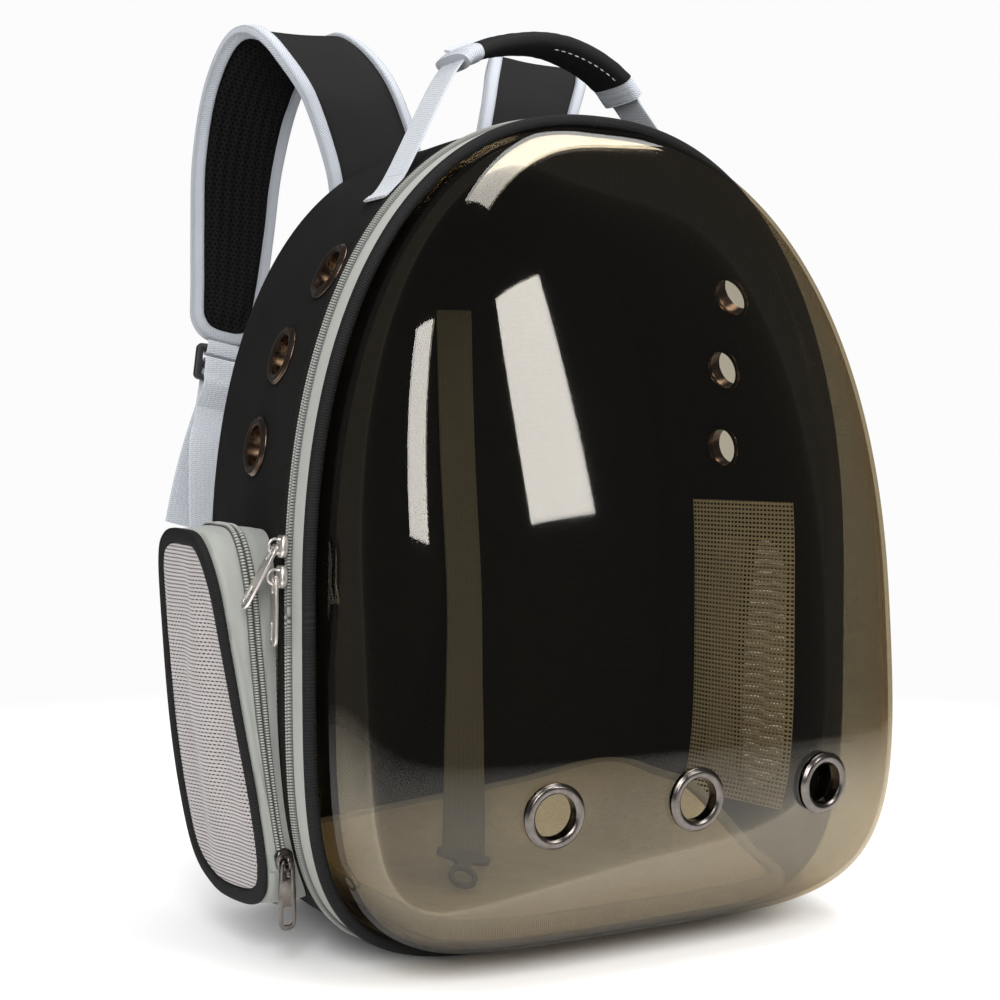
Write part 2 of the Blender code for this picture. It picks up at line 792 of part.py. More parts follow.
def make_lock(tag, side, top, wide, along, out):
    """Ladder lock on a webbing loop, and the webbing that turns back over its middle bar."""
    frame = frame_of(top, wide, along, out)
    thick = LOCK_THICK / 2
    first = (-LOCK_HALF, -0.002, -thick)
    last = (LOCK_HALF, LOCK_LENGTH - 0.002, thick)
    plate = block(f"strap_lock_{tag}", first, last, frame, "black")
    for name, low, high in (("a", 0.0018, 0.0088), ("b", 0.0118, 0.0170)):
        first = (-WEB_HALF - 0.001, low, -0.01)
        last = (WEB_HALF + 0.001, high, 0.01)
        cut(plate, block(f"lock_slot_{name}_{tag}", first, last, frame, "black", helper=True))
    over = thick + GAP + WEB / 2
    side_a = [(-0.0040, over + 0.0004), (0.0018, over + GAP), (0.0034, 0.0020)]
    loop = side_a + [(0.0038, 0.0)] + [(y, -z) for y, z in side_a[::-1]]
    loop = [frame @ Vector((0, y, z)) for y, z in loop]
    strap(f"strap_loop_{tag}", loop, wide, WEB_HALF - 0.0004, WEB, "pale")
    back = [
        (0.0065, 0.0012),
        (0.0081, over + GAP),
        (0.0110, over + GAP * 2),
        (0.0180, over + GAP * 2),
        (0.0240, over + GAP * 4),
    ]
    under = [(y, -z) for y, z in back[::-1]]
    path = smooth(mirrored(WEB_PATH, side), 2)[:-1]
    last = path[-1]
    path.append((last + (frame @ Vector((0, *under[0])))) / 2)
    path += [frame @ Vector((0, y, z)) for y, z in under + back]
    end = mirrored([TAIL_END], side)[0]
    start = path[-1]
    bow = Vector((0, 0.006, 0))
    for share in (0.25, 0.5, 0.75, 1.0):
        path.append(start + (end - start) * share + bow * math.sin(math.pi * share))
    strap(f"strap_web_{tag}", path, wide, WEB_HALF, WEB, "pale")


def make_handle():
    """Webbing sewn to both shoulders of the body, with a padded sleeve between bound ends."""
    depth = HANDLE_DEPTH
    lift = WEB / 2 + GAP * 3
    legs = []
    for right in (False, True):
        leg = []
        for x in (HANDLE_FOOT[1], (HANDLE_FOOT[0] + HANDLE_FOOT[1]) / 2, HANDLE_FOOT[0]):
            low, high = 0.0, math.pi / 2
            for _ in range(40):
                middle = (low + high) / 2
                if outline_at(middle).x > x * HALF:
                    low = middle
                else:
                    high = middle
            leg.append(wall_frame(low if right else math.pi - low, depth, lift)[0])
        legs.append(leg)
    middle = [Vector((x, at(depth), z)) for x, z in HANDLE_PATH]
    path = smooth(legs[0], 2) + smooth(middle, 2) + smooth(legs[1], 2)[::-1]
    strap("handle_web", path, Vector((0, 1, 0)), HANDLE_HALF, WEB, "pale")
    lengths = [0.0]
    for a, b in zip(path, path[1:]):
        lengths.append(lengths[-1] + (b - a).length)
    centre = lengths[-1] / 2
    half = GRIP_LENGTH / 2
    grip = stretch(path, lengths, centre - half, centre + half)
    sleeve("handle_grip", grip, GRIP_HALF, GRIP_THICK / 2, "black")
    bound = GRIP_HALF * 0.95, GRIP_THICK / 2 + 0.0004
    first = centre - half - GAP
    sleeve("handle_end_L", stretch(path, lengths, first - GRIP_END, first), *bound, "pale")
    last = centre + half + GAP
    sleeve("handle_end_R", stretch(path, lengths, last, last + GRIP_END), *bound, "pale")


def stretch(path, lengths, start, end):
    """The points of a path between two lengths along it."""
    made = []
    for wanted in (start, end):
        i = max(j for j in range(len(path) - 1) if lengths[j] <= wanted)
        share = (wanted - lengths[i]) / (lengths[i + 1] - lengths[i])
        made.append(path[i] + (path[i + 1] - path[i]) * share)
    between = [p for p, length in zip(path, lengths) if start + 0.001 < length < end - 0.001]
    return [made[0]] + between + [made[1]]


def sleeve(name, path, half, thick, kind):
    """A flattened tube round the handle's webbing."""
    rows = ((-1, -0.45), (-0.7, -1), (0.7, -1), (1, -0.45), (1, 0.45), (0.7, 1), (-0.7, 1), (-1, 0.45))
    slot = ((-1, -0.6), (-0.7, -1), (0.7, -1), (1, -0.6), (1, 0.6), (0.7, 1), (-0.7, 1), (-1, 0.6))
    hole_half = HANDLE_HALF + 0.0006
    hole_thick = WEB / 2 + 0.0009
    outer, inner = [], []
    for here, side, out in strap_frames(path, Vector((0, 1, 0))):
        outer.append([here + side * (half * u) + out * (thick * v) for u, v in rows])
        inner.append([here + side * (hole_half * u) + out * (hole_thick * v) for u, v in slot])
    loops = outer + inner[::-1]
    return loft(name, loops, kind, ring=True)


def floor_half(z, depth):
    """Half width inside the wall at a low height and a depth."""
    low, high = -math.pi / 2, 0.0
    for _ in range(40):
        middle = (low + high) / 2
        if wall_frame(middle, depth, -WALL - CORNER_CLEAR)[0].z < z:
            low = middle
        else:
            high = middle
    return wall_frame(low, depth, -WALL - CORNER_CLEAR)[0].x


def plan(z, wide_at, share, front, rear, corner, steps):
    """A rounded outline at a height, a share as wide as the wall leaves at another height."""
    ring = []
    corners = ((1, rear), (-1, rear), (-1, front), (1, front))
    for number, (sign, depth) in enumerate(corners):
        half = floor_half(wide_at, depth) * share
        into = 1 if depth == front else -1
        centre = Vector((sign * (half - corner), at(depth + into * corner), z))
        for k in range(steps + 1):
            angle = math.pi / 2 * (number + k / steps)
            ring.append(centre + Vector((corner * math.cos(angle), corner * math.sin(angle), 0)))
    return ring


def mat_outline(z, shrink, count=34):
    """The mat's plan: straight at the rear, following the dome at the front."""
    rear = BODY_DEPTH - BACK_THICK - 0.003 - shrink
    half = floor_half(z, rear) - 0.002 - shrink
    inset = DOME_INSET + DOME_WALL
    corner = 0.022 - min(shrink, 0.012)
    ring = []
    for sign in (1, -1):
        centre = Vector((sign * (half - corner), at(rear - corner), z))
        for k in range(5):
            angle = math.pi / 2 * k / 4 if sign > 0 else math.pi / 2 * (1 + k / 4)
            ring.append(centre + Vector((corner * math.cos(angle), corner * math.sin(angle), 0)))
    wide = half_at(z, inset) - 0.004 - shrink
    deep = dome_depth(0, z, inset, DOME_DEPTH - DOME_WALL) - MAT_MARGIN - shrink
    for k in range(count - 10):
        angle = math.pi * (k + 0.5) / (count - 10)
        x = -wide * math.copysign(abs(math.cos(angle)) ** 0.45, math.cos(angle))
        y = at(0.012) - (deep + 0.012) * abs(math.sin(angle)) ** 0.62
        ring.append(Vector((x, y, z)))
    return ring


def make_floor():
    """Padded board on the floor, and the mat on it with a bound edge."""
    low = WALL + GAP * 2
    front, rear = BOARD_DEPTHS
    sections = []
    for rise, wide_at, share in ((0.0, 0.4, 0.5), (0.4, 0.4, 1.0), (1.0, 1.0, 1.0)):
        z = low + BOARD * rise
        sections.append(plan(z, low + BOARD * wide_at, share, front, rear, 0.010, 3))
    loft("floor_board", sections, "black")
    base = low + BOARD + GAP
    plan_of_mat = mat_outline(base, MAT_EDGE + GAP)
    sections = [[Vector((p.x, p.y, z)) for p in plan_of_mat] for z in (base, base + MAT)]
    loft("mat", sections, "beige")
    outer = mat_outline(base, 0.0)
    inner = mat_outline(base, MAT_EDGE)
    edge = []
    for a, b in zip(outer, inner):
        edge.append([a, a + Vector((0, 0, MAT * 0.8)), b + Vector((0, 0, MAT + 0.0008)), b])
    loft("mat_edge", edge, "grey", ring=True)


def make_leash():
    """Leash webbing from the back wall down to a plastic snap hook over the mat."""
    path = smooth(mirrored(LEASH_PATH, -1), 4)
    strap("leash_web", path, Vector((1, 0, 0)), LEASH_HALF, WEB, "pale")
    along = (path[-1] - path[-2]).normalized()
    side = Vector((1, 0, 0))
    side = (side - along * side.dot(along)).normalized()
    frame = frame_of(path[-1] + along * 0.0008, side, along, side.cross(along))
    thick = 0.0018
    bar = LEASH_HALF + 0.0025
    hook = block("leash_hook", (-bar, 0.0, -thick), (bar, 0.0045, thick), frame, "black")
    last = (0.004, HOOK_LENGTH * 0.45, thick)
    join(hook, block("hook_neck", (-0.004, 0.003, -thick), last, frame, "black", helper=True))
    ring = frame @ Matrix.Translation((0, HOOK_LENGTH * 0.62, 0))
    join(hook, rod("hook_ring", ring, HOOK_LENGTH * 0.27, thick, "black", sides=14, helper=True))
    cut(hook, rod("hook_hole", ring, HOOK_LENGTH * 0.19, 0.01, "black", sides=12, helper=True))


def make_slider(name, frame):
    """A slider: the frame's origin is on the zip, its y along the zip and its z out of it."""
    wide, long = SLIDER_WIDTH / 2, SLIDER_LENGTH / 2
    sections = []
    for z, share in ((GAP, 1.0), (SLIDER_TALL * 0.6, 1.0), (SLIDER_TALL, 0.75)):
        a, b = wide * share, long * share
        sections.append([frame @ Vector((a * u, b * v, z)) for u, v in SLIDER_SHAPE])
    slider = loft(name, sections, "metal")
    sections = []
    steps = 9
    for k in range(steps):
        angle = math.radians(-30 + 240 * k / (steps - 1))
        c, s = math.cos(angle), math.sin(angle)
        ring = []
        for r, a in ((BAIL_INNER, -1), (BAIL_OUTER, -1), (BAIL_OUTER, 1), (BAIL_INNER, 1)):
            ring.append(frame @ Vector((a * BAIL_THICK / 2, r * c, BAIL_CENTRE + r * s)))
        sections.append(ring)
    join(slider, loft(name + "_bail", sections, "metal", helper=True))
    return slider


def make_pull(name, frame, out_angle=0.0, back_angle=0.0):
    """A framed pull that hangs along the frame's y from the middle of the slider's bail."""
    turn = Matrix.Translation((0, 0, BAIL_CENTRE))
    turn = turn @ Matrix.Rotation(math.radians(back_angle), 4, "Z")
    turn = frame @ turn @ Matrix.Rotation(math.radians(out_angle), 4, "X")
    wide, thick = PULL_WIDTH / 2, PULL_THICK / 2
    start = -0.0008
    end = start + PULL_LENGTH
    neck = wide * 0.80
    half_shape = (
        (neck, start),
        (neck, 0.006),
        (wide, 0.011),
        (wide, end - 0.003),
        (wide * 0.6, end),
    )
    shape = half_shape + tuple((-x, y) for x, y in half_shape[::-1])
    sections = [[turn @ Vector((x, y, z)) for x, y in shape] for z in (-thick, thick)]
    pull = loft(name, sections, "metal")
    for label, half, low, high in (
        ("eye", BAIL_THICK / 2 + 0.0009, 0.0008, 0.0090),
        ("slot", wide * 0.55, end - 0.0115, end - 0.0025),
    ):
        first, last = (-half, low, -0.01), (half, high, 0.01)
        cut(pull, block(f"{name}_{label}", first, last, turn, "metal", helper=True))
    return pull


def main_sliders():
    """Two sliders on the left side of the main zip, their pulls hanging."""
    depth = COIL_START + COIL_WIDTH / 2
    for name, height, out_angle, back_angle in (
        ("upper", UPPER_SLIDER_Z, UPPER_PULL_OUT, UPPER_PULL_BACK),
        ("lower", LOWER_SLIDER_Z, 0.0, 0.0),
    ):
        frame = surface_frame(turn_at_height(height, False), depth, COIL_RISE)
        make_slider(f"slider_{name}", frame)
        make_pull(f"pull_{name}", frame, out_angle, -back_angle)


def pocket_sliders():
    """The pocket zip's slider at its low front end, its pull hanging down."""
    for right in (False, True):
        side = 1 if right else -1
        tag = "R" if right else "L"
        outline = pocket_outline(POCKET_STATIONS, 0.004 + GAP + COIL_RISE)
        above = pocket_point(outline[-1].x, outline[-1].y, side, 0.42)
        below = pocket_point(outline[0].x, outline[0].y, side, 0.42)
        along = (below - above).normalized()
        spot = above + (below - above) * POCKET_SLIDER
        out = Vector((0, -1, 0))
        out = (out - along * out.dot(along)).normalized()
        frame = frame_of(spot, along.cross(out), along, out)
        make_slider(f"pocket_slider_{tag}", frame)
        hang = Vector((0, 0, -1))
        tilt = math.degrees(math.atan2(out.dot(hang), along.dot(hang)))
        sway = math.degrees(math.atan2(-along.cross(out).dot(hang), along.dot(hang)))
        make_pull(f"pocket_pull_{tag}", frame, tilt, sway)


def build():
    for thing in list(bpy.data.objects):
        bpy.data.objects.remove(thing, do_unlink=True)
    dome = make_dome()
    dome_eyelets(dome)
    make_front()
    make_wall()
    make_back()
    for right in (False, True):
        make_pocket(right)
        make_strap(right)
    make_handle()
    make_floor()
    make_leash()
    main_sliders()
    pocket_sliders()


build()
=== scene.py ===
# %% [markdown]
# # A pet carrier backpack with a clear dome
# The real carrier is a stiff arched bag with a smoked plastic dome zipped to its front.
# Its solids are already made and packed, so this lesson loads them as a fixed frame and
# dresses them: each soft or faceted solid gets a smooth piece that stands in its place.

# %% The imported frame
import json
import math
from functools import partialmethod

import bpy
import numpy as np
from mathutils import Matrix, Vector, noise

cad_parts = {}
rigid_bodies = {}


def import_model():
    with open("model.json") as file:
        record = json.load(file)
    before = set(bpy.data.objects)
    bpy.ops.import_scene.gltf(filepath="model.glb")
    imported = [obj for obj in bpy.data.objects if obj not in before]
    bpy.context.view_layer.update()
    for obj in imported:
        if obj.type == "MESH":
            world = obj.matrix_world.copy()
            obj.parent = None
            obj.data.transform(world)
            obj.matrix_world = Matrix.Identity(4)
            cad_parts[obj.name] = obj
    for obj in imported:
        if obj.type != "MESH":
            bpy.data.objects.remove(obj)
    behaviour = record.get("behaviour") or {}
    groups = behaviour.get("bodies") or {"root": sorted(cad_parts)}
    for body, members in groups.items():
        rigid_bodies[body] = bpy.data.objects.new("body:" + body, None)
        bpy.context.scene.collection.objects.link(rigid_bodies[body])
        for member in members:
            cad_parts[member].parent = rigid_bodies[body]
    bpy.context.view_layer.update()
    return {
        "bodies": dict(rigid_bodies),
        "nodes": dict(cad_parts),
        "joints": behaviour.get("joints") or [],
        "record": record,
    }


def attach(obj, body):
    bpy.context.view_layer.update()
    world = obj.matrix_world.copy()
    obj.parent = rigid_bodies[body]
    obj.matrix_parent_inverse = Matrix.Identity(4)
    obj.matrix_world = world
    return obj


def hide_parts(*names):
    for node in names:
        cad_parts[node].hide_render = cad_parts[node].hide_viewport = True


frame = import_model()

# %% [markdown]
# ## Camera
# The photograph was taken from the front left, a little above the middle of the bag. The
# camera's place, turn and lens were solved from points whose place on the bag is known.

# %% Camera
camera_lens = bpy.data.cameras.new("camera")
camera_lens.lens = 65.44
camera_lens.sensor_width = 36.0
camera = bpy.data.objects.new("camera", camera_lens)
camera.location = (-0.5183, -0.8489, 0.2558)
camera.rotation_euler = (math.radians(90 - 1.92), 0, math.radians(-30.73))
bpy.context.scene.collection.objects.link(camera)
bpy.context.scene.camera = camera
print("camera", tuple(camera.location))

# %% [markdown]
# ## Sizes
# These are the sizes of the solids, in metres. Depths run back from the front face of the
# piping, which is where the dome meets the body.

# %% Sizes of the body and the dome
BODY_WIDTH, BODY_HEIGHT, BODY_DEPTH = 0.330, 0.420, 0.155
SHOULDER_Z = 0.418 * BODY_HEIGHT
TOP_POWER, LOW_POWER = 2.27, 4.8
REAR_TAPER, WALL, GAP, BEND_SHARE = 0.015, 0.004, 0.0003, 0.05
PIPING_DEPTH, PIPING_WIDTH, TAPE_DEPTH = 0.008, 0.0062, 0.026
COIL_START, COIL_WIDTH, COIL_RISE = 0.0215, 0.0075, 0.0012
TAPE_SINK, TAPE = 0.0010, 0.0012
DOME_DEPTH, DEEPEST_Z, DOME_WALL = 0.083, 0.256 * BODY_HEIGHT, 0.002
DOME_SIDE_POWER, DOME_LOW_POWER, DOME_TOP_POWER = 3.8, 2.56, 1.53
EYELET_HOLE, EYELET_RIM = 0.0117, 0.0155
DOME_EYELET_X, DOME_EYELET_Z = 0.079, 0.085
WALL_EYELETS = ((0.051, 0.339), (0.076, 0.298), (0.088, 0.252))
WINDOW_DEPTHS, WINDOW_HEIGHTS, WINDOW_SEAM = (0.040, 0.112), (0.048, 0.214), 0.006
HALF, FRONT_Y = BODY_WIDTH / 2, -BODY_DEPTH / 2
DOME_INSET = PIPING_WIDTH + GAP

# %% [markdown]
# ## The arch
# Seen from the front the body is two superellipses that meet at the shoulder. A turn in
# radians names a point on it. Points are spread by length, with more of them where the
# outline bends, so that corners stay round.


# %% The arch as functions
def at(depth):
    return FRONT_Y + depth


def outline(turn, half=HALF):
    """The arch's x and height for a turn."""
    c, s = math.cos(turn), math.sin(turn)
    power = TOP_POWER if s > 0 else LOW_POWER
    tall = BODY_HEIGHT - SHOULDER_Z if s > 0 else SHOULDER_Z
    x = half * math.copysign(abs(c) ** (2 / power), c)
    return x, SHOULDER_Z + tall * math.copysign(abs(s) ** (2 / power), s)


def bent_lengths(steps=1440):
    """Length along the arch for each turn, with bends counted as extra length."""
    turns = np.linspace(0, 2 * math.pi, steps + 1)
    points = np.array([outline(t) for t in turns])
    moves = np.diff(points, axis=0)
    heading = np.unwrap(np.arctan2(moves[:, 1], moves[:, 0]))
    bend = np.abs(np.diff(heading, prepend=heading[0]))
    size = np.hypot(moves[:, 0], moves[:, 1])
    return turns, np.concatenate([[0], np.cumsum(size + BEND_SHARE * bend)]), size.sum()


TURNS, LENGTHS, ROUND = bent_lengths()


def turn_at(share):
    return float(np.interp((share % 1.0) * LENGTHS[-1], LENGTHS, TURNS))


def last_turn(low, high, holds):
    """The last turn between two others for which a test holds, found by halving."""
    for _ in range(40):
        middle = (low + high) / 2
        low, high = (middle, high) if holds(middle) else (low, middle)
    return low


def turn_at_height(z, right):
    turn = last_turn(-math.pi / 2, math.pi / 2, lambda t: outline(t)[1] < z)
    return turn if right else math.pi - turn


def on_wall(turn, depth, off=0.0):
    """A point of the body's side and its outward normal, the point moved out by off."""
    half = HALF - REAR_TAPER * depth / BODY_DEPTH
    (x, z), (x1, z1), (x0, z0) = (outline(turn + d, half) for d in (0, 1e-3, -1e-3))
    normal = Vector((z1 - z0, 0, x0 - x1)).normalized()
    return Vector((x, at(depth), z)) + normal * off, normal


def frame_of(origin, across, along, out):
    return Matrix.Translation(origin) @ Matrix((across, along, out)).transposed().to_4x4()


def side_frame(turn, depth, off=0.0):
    """A local frame on the body's side: x rearwards, y along the arch, z out."""
    spot, normal = on_wall(turn, depth, off)
    across = (on_wall(turn, depth + 0.001, off)[0] - spot).normalized()
    out = (normal - across * normal.dot(across)).normalized()
    return frame_of(spot, across, out.cross(across), out)


print("length round the arch:", round(ROUND, 3), "m")

# %% [markdown]
# ## Wrapping a grid
# Nearly every piece of a bag is a sheet or a tube that follows a route. The quickest way to
# make one is a primitive grid whose points are put on the surface, row by row. Its UV map
# is then set in metres, so that a weave keeps its real size and follows the piece.


# %% Helpers for pieces
def deselect():
    bpy.ops.object.select_all(action="DESELECT")


def choose(piece):
    deselect()
    piece.select_set(True)
    bpy.context.view_layer.objects.active = piece


def edit(piece, *steps):
    """Runs edit-mode operators on the whole piece; each step is a name and its settings."""
    choose(piece)
    bpy.ops.object.mode_set(mode="EDIT")
    for name, settings in steps:
        bpy.ops.mesh.select_all(action="SELECT")
        getattr(bpy.ops.mesh, name)(**settings)
    bpy.ops.object.mode_set(mode="OBJECT")


def modify(piece, kind, **settings):
    """Adds one modifier and applies it."""
    choose(piece)
    step = piece.modifiers.new(kind.lower(), kind)
    for key, value in settings.items():
        setattr(step, key, value)
    bpy.ops.object.modifier_apply(modifier=step.name)


def cut(piece, cutter):
    """Cuts a piece by another, which is then removed."""
    modify(piece, "BOOLEAN", object=cutter, operation="DIFFERENCE", solver="EXACT")
    bpy.data.objects.remove(cutter)


def copied(piece, name, matrix):
    """A copy of a piece with its points moved by a matrix."""
    other = bpy.data.objects.new(name, piece.data.copy())
    bpy.context.scene.collection.objects.link(other)
    other.data.name = name
    other.data.transform(matrix)
    return other


def read_points(mesh):
    flat = np.empty(len(mesh.vertices) * 3, np.float32)
    mesh.vertices.foreach_get("co", flat)
    return flat.reshape(-1, 3)


def write_points(mesh, points):
    mesh.vertices.foreach_set("co", np.array(points, np.float32).ravel())


def write_chart(mesh, points):
    """A UV map from one pair for each vertex, in metres."""
    layer = mesh.uv_layers.active or mesh.uv_layers.new(name="UVMap")
    corners = np.empty(len(mesh.loops), np.int32)
    mesh.loops.foreach_get("vertex_index", corners)
    layer.data.foreach_set("uv", np.array(points, np.float32)[corners].ravel())


def wrap(name, across, along, place, chart, closed=False, capped=False):
    """A grid put on a surface: place gives each point, and chart its UV in metres."""
    deselect()
    bpy.ops.mesh.primitive_grid_add(x_subdivisions=across, y_subdivisions=along, size=1)
    piece = bpy.context.object
    piece.name = piece.data.name = name
    shares = np.round(read_points(piece.data)[:, :2] + 0.5, 6).tolist()
    write_points(piece.data, [tuple(place(u, v)) for u, v in shares])
    write_chart(piece.data, [chart(u, v) for u, v in shares])
    if closed:
        edit(piece, ("remove_doubles", {"threshold": 4e-6}))
    if capped:
        edit(piece, ("fill_holes", {"sides": 0}))
    if closed:
        edit(piece, ("normals_make_consistent", {"inside": False}))
    return piece


def dress(piece, finish, slot, *nodes, body="bag", angle=40):
    """Gives a piece its material, its smooth shading, its CAD body and the nodes it stands for."""
    piece.data.materials.clear()
    piece.data.materials.append(finish)
    choose(piece)
    bpy.ops.object.shade_smooth_by_angle(angle=math.radians(angle))
    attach(piece, body)
    if nodes:
        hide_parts(*nodes)
    print(piece.name, len(piece.data.polygons), "faces")
    return piece


def dress_pair(piece, finish, slot, node, angle=40):
    """Dresses a left piece and its mirror image; names and nodes end in _L and _R."""
    dress(piece, finish, slot, node + "_L", angle=angle)
    other = copied(piece, piece.name[:-1] + "R", Matrix.Scale(-1, 4, (1, 0, 0)))
    other.data.flip_normals()
    return dress(other, finish, slot, node + "_R")


def rounded(share, wide, tall, power):
    """A point of a rounded rectangle, for a share of the way round it."""
    c, s = math.cos(2 * math.pi * share), math.sin(2 * math.pi * share)
    x = wide * math.copysign(abs(c) ** (2 / power), c)
    return x, tall * math.copysign(abs(s) ** (2 / power), s)


def smooth(points, steps, closed=False):
    """More points on a smooth curve through the given ones."""
    named = [Vector(p) for p in points]
    count = len(named)
    made = []
    for i in range(count if closed else count - 1):
        if closed:
            a, b, c, d = (named[(i + k - 1) % count] for k in range(4))
        else:
            a, b = named[max(i - 1, 0)], named[i]
            c, d = named[i + 1], named[min(i + 2, count - 1)]
        for k in range(steps):
            t = k / steps
            square = (2 * a - 5 * b + 4 * c - d) * t**2
            made.append(0.5 * (2 * b + (c - a) * t + square + (3 * b - a - 3 * c + d) * t**3))
    if not closed:
        made.append(named[-1])
    return made


class Route:
    """The line of a flat strap, with its across and out directions."""

    def __init__(self, line, across):
        self.spots, self.frames, self.lengths = line, [], [0.0]
        for i, here in enumerate(line):
            along = (line[min(i + 1, len(line) - 1)] - line[max(i - 1, 0)]).normalized()
            wide = (across - along * across.dot(along)).normalized()
            self.frames.append((wide, along.cross(wide).normalized(), along))
            if i:
                self.lengths.append(self.lengths[-1] + (here - line[i - 1]).length)
        self.length = self.lengths[-1]

    def at(self, length):
        """Point, across, out and along at a length; past the end it runs on straight."""
        i = int(np.searchsorted(self.lengths, length, side="right")) - 1
        i = min(max(i, 0), len(self.spots) - 2)
        t = (length - self.lengths[i]) / (self.lengths[i + 1] - self.lengths[i])
        near = min(max(t, 0.0), 1.0)
        spot = self.spots[i] + (self.spots[i + 1] - self.spots[i]) * t
        turned = [a.lerp(b, near).normalized() for a, b in zip(self.frames[i], self.frames[i + 1])]
        return spot, *turned


def ribbon(name, route, half, thick, start=0.0, end=None, rows=None, power=5.0):
    """A flat strap with rounded edges along a route, closed at both ends."""
    end = route.length if end is None else end
    rows = rows or max(8, int((end - start) / 0.0025))
    stations = {}

    def place(u, v):
        if v not in stations:
            stations[v] = route.at(start + (end - start) * v)
        spot, wide, out, _ = stations[v]
        x, z = rounded(u, half, thick / 2, power)
        return spot + wide * x + out * z

    def chart(u, v):
        return rounded(u, half, thick / 2, power)[0], start + (end - start) * v

    return wrap(name, 28, rows, place, chart, closed=True, capped=True)


def fine_noise(spot, scale, seed=0.0):
    """Smooth noise from -1 to 1 with features of about the given size."""
    return noise.noise(Vector(spot) / scale + Vector((seed, seed * 1.7, seed * 2.3)))


# %% [markdown]
# ## Shader maths
# A weave is arithmetic on the UV map. Wrapping each socket in a small class lets the sums be
# written as ordinary expressions; every operator adds its Math node.


# %% Sockets that can be added and multiplied
class Value:
    """One output of a node."""

    def __init__(self, finish, socket):
        self.finish, self.socket = finish, socket

    def part(self, name):
        return Value(self.finish, self.socket.node.outputs[name])

    def math(self, operation, *others):
        return self.finish.node("ShaderNodeMath", {"operation": operation}, self, *others)

    def flipped(self, operation, other):
        return self.finish.node("ShaderNodeMath", {"operation": operation}, other, self)

    def __abs__(self):
        return self.math("ABSOLUTE")

    def wave(self, pitch):
        """A sine from 0 to 1 that repeats every pitch."""
        return (self * (2 * math.pi / pitch)).math("SINE") * 0.5 + 0.5

    def step(self, pitch):
        """The share from 0 to 1 within each pitch."""
        return (self / pitch).math("FRACT")


for word, operation in (
    ("add", "ADD"),
    ("sub", "SUBTRACT"),
    ("mul", "MULTIPLY"),
    ("truediv", "DIVIDE"),
    ("pow", "POWER"),
    ("gt", "GREATER_THAN"),
    ("lt", "LESS_THAN"),
):
    method = partialmethod(Value.math, operation)
    setattr(Value, f"__{word}__", method)
    if word in ("add", "mul"):
        setattr(Value, f"__r{word}__", method)
    elif word in ("sub", "truediv"):
        setattr(Value, f"__r{word}__", partialmethod(Value.flipped, operation))


class Finish:
    """A material in the making."""

    def __init__(self, name):
        self.material = bpy.data.materials.new(name)
        self.material.use_nodes = True
        self.tree = self.material.node_tree
        self.shader = self.tree.nodes["Principled BSDF"]

    def put(self, socket, value):
        if isinstance(value, Value):
            self.tree.links.new(value.socket, socket)
        else:
            socket.default_value = value

    def node(self, kind, settings=None, *inputs, out=0, **named):
        """Any node: its settings, then the values of its sockets by order or by name."""
        made = self.tree.nodes.new(kind)
        for key, value in (settings or {}).items():
            setattr(made, key, value)
        for socket, value in zip(made.inputs, inputs):
            self.put(socket, value)
        for key, value in named.items():
            self.put(made.inputs[key.replace("_", " ")], value)
        return Value(self, made.outputs[out])

    def chart(self):
        """The two directions of the piece's UV map, in metres."""
        place = self.node("ShaderNodeTexCoord", out="UV")
        split = self.node("ShaderNodeSeparateXYZ", None, place)
        return split, split.part("Y")

    def place(self):
        return self.node("ShaderNodeTexCoord", out="Object")

    def speckle(self, size, detail=2.0):
        """Noise from 0 to 1 with features of about a size in metres."""
        return self.node("ShaderNodeTexNoise", None, self.place(), Scale=1 / size, Detail=detail)

    def mix(self, factor, first, second):
        """Two colours mixed."""
        made = self.tree.nodes.new("ShaderNodeMix")
        made.data_type = "RGBA"
        for place, value in ((0, factor), (6, first), (7, second)):
            self.put(made.inputs[place], value)
        return Value(self, made.outputs[2])

    def bump(self, height, distance):
        """Relief on the shader's normal; distance is the height in metres."""
        relief = {"Height": height, "Distance": distance, "Strength": 1.0}
        self.put(self.shader.inputs["Normal"], self.node("ShaderNodeBump", None, **relief))

    def set(self, **values):
        for key, value in values.items():
            self.put(self.shader.inputs[key.replace("_", " ")], value)
        return self


def shade(colour, factor):
    return (*(min(1.0, c * factor) for c in colour[:3]), 1.0)


# %% [markdown]
# ## Fabrics
# The bag mixes a dozen cloths: black twill, pale webbing, ribbed binding, herringbone zip
# tape, net and fleece. They share a base: threads give the relief, the gaps between them are
# darker, and a slow noise keeps a large panel from looking flat.


# %% A cloth from its thread pattern
DARK, SHEEN = 0.1, 0.15  # a cloth darker than DARK has no sheen and hardly any gloss


def cloth(name, colour, threads, relief=0.0003, gap=0.55, rough=0.85, worn=0.10):
    """A woven cloth: threads(u, v) gives the height of the weave from 0 to 1."""
    finish = Finish(name)
    u, v = finish.chart()
    height = threads(u, v)
    slow = finish.speckle(0.035)
    fuzz = finish.speckle(0.0012, detail=3.0)
    base = finish.mix(height, shade(colour, gap), shade(colour, 1.08))
    tired = finish.mix(slow * (worn * 4.0) - worn * 1.4, base, shade(colour, 1.5))
    dark = max(colour) < DARK
    finish.set(Base_Color=tired, Roughness=rough - 0.12 * fuzz)
    finish.set(Sheen_Weight=0.0 if dark else SHEEN, Sheen_Roughness=0.5)
    finish.set(Specular_IOR_Level=0.13 if dark else 0.3)
    finish.bump(height + 0.35 * fuzz, relief)
    return finish.material


def twill(pitch):
    return lambda u, v: (u + v).wave(pitch) * ((u - v).wave(pitch * 0.7) * 0.35 + 0.65)


def ribs(pitch, across=0.0):
    """Ribs across the strap; across adds a second set along it."""
    def threads(u, v):
        height = v.wave(pitch)
        return height * (1 - 0.4 * u.wave(across)) if across else height
    return threads


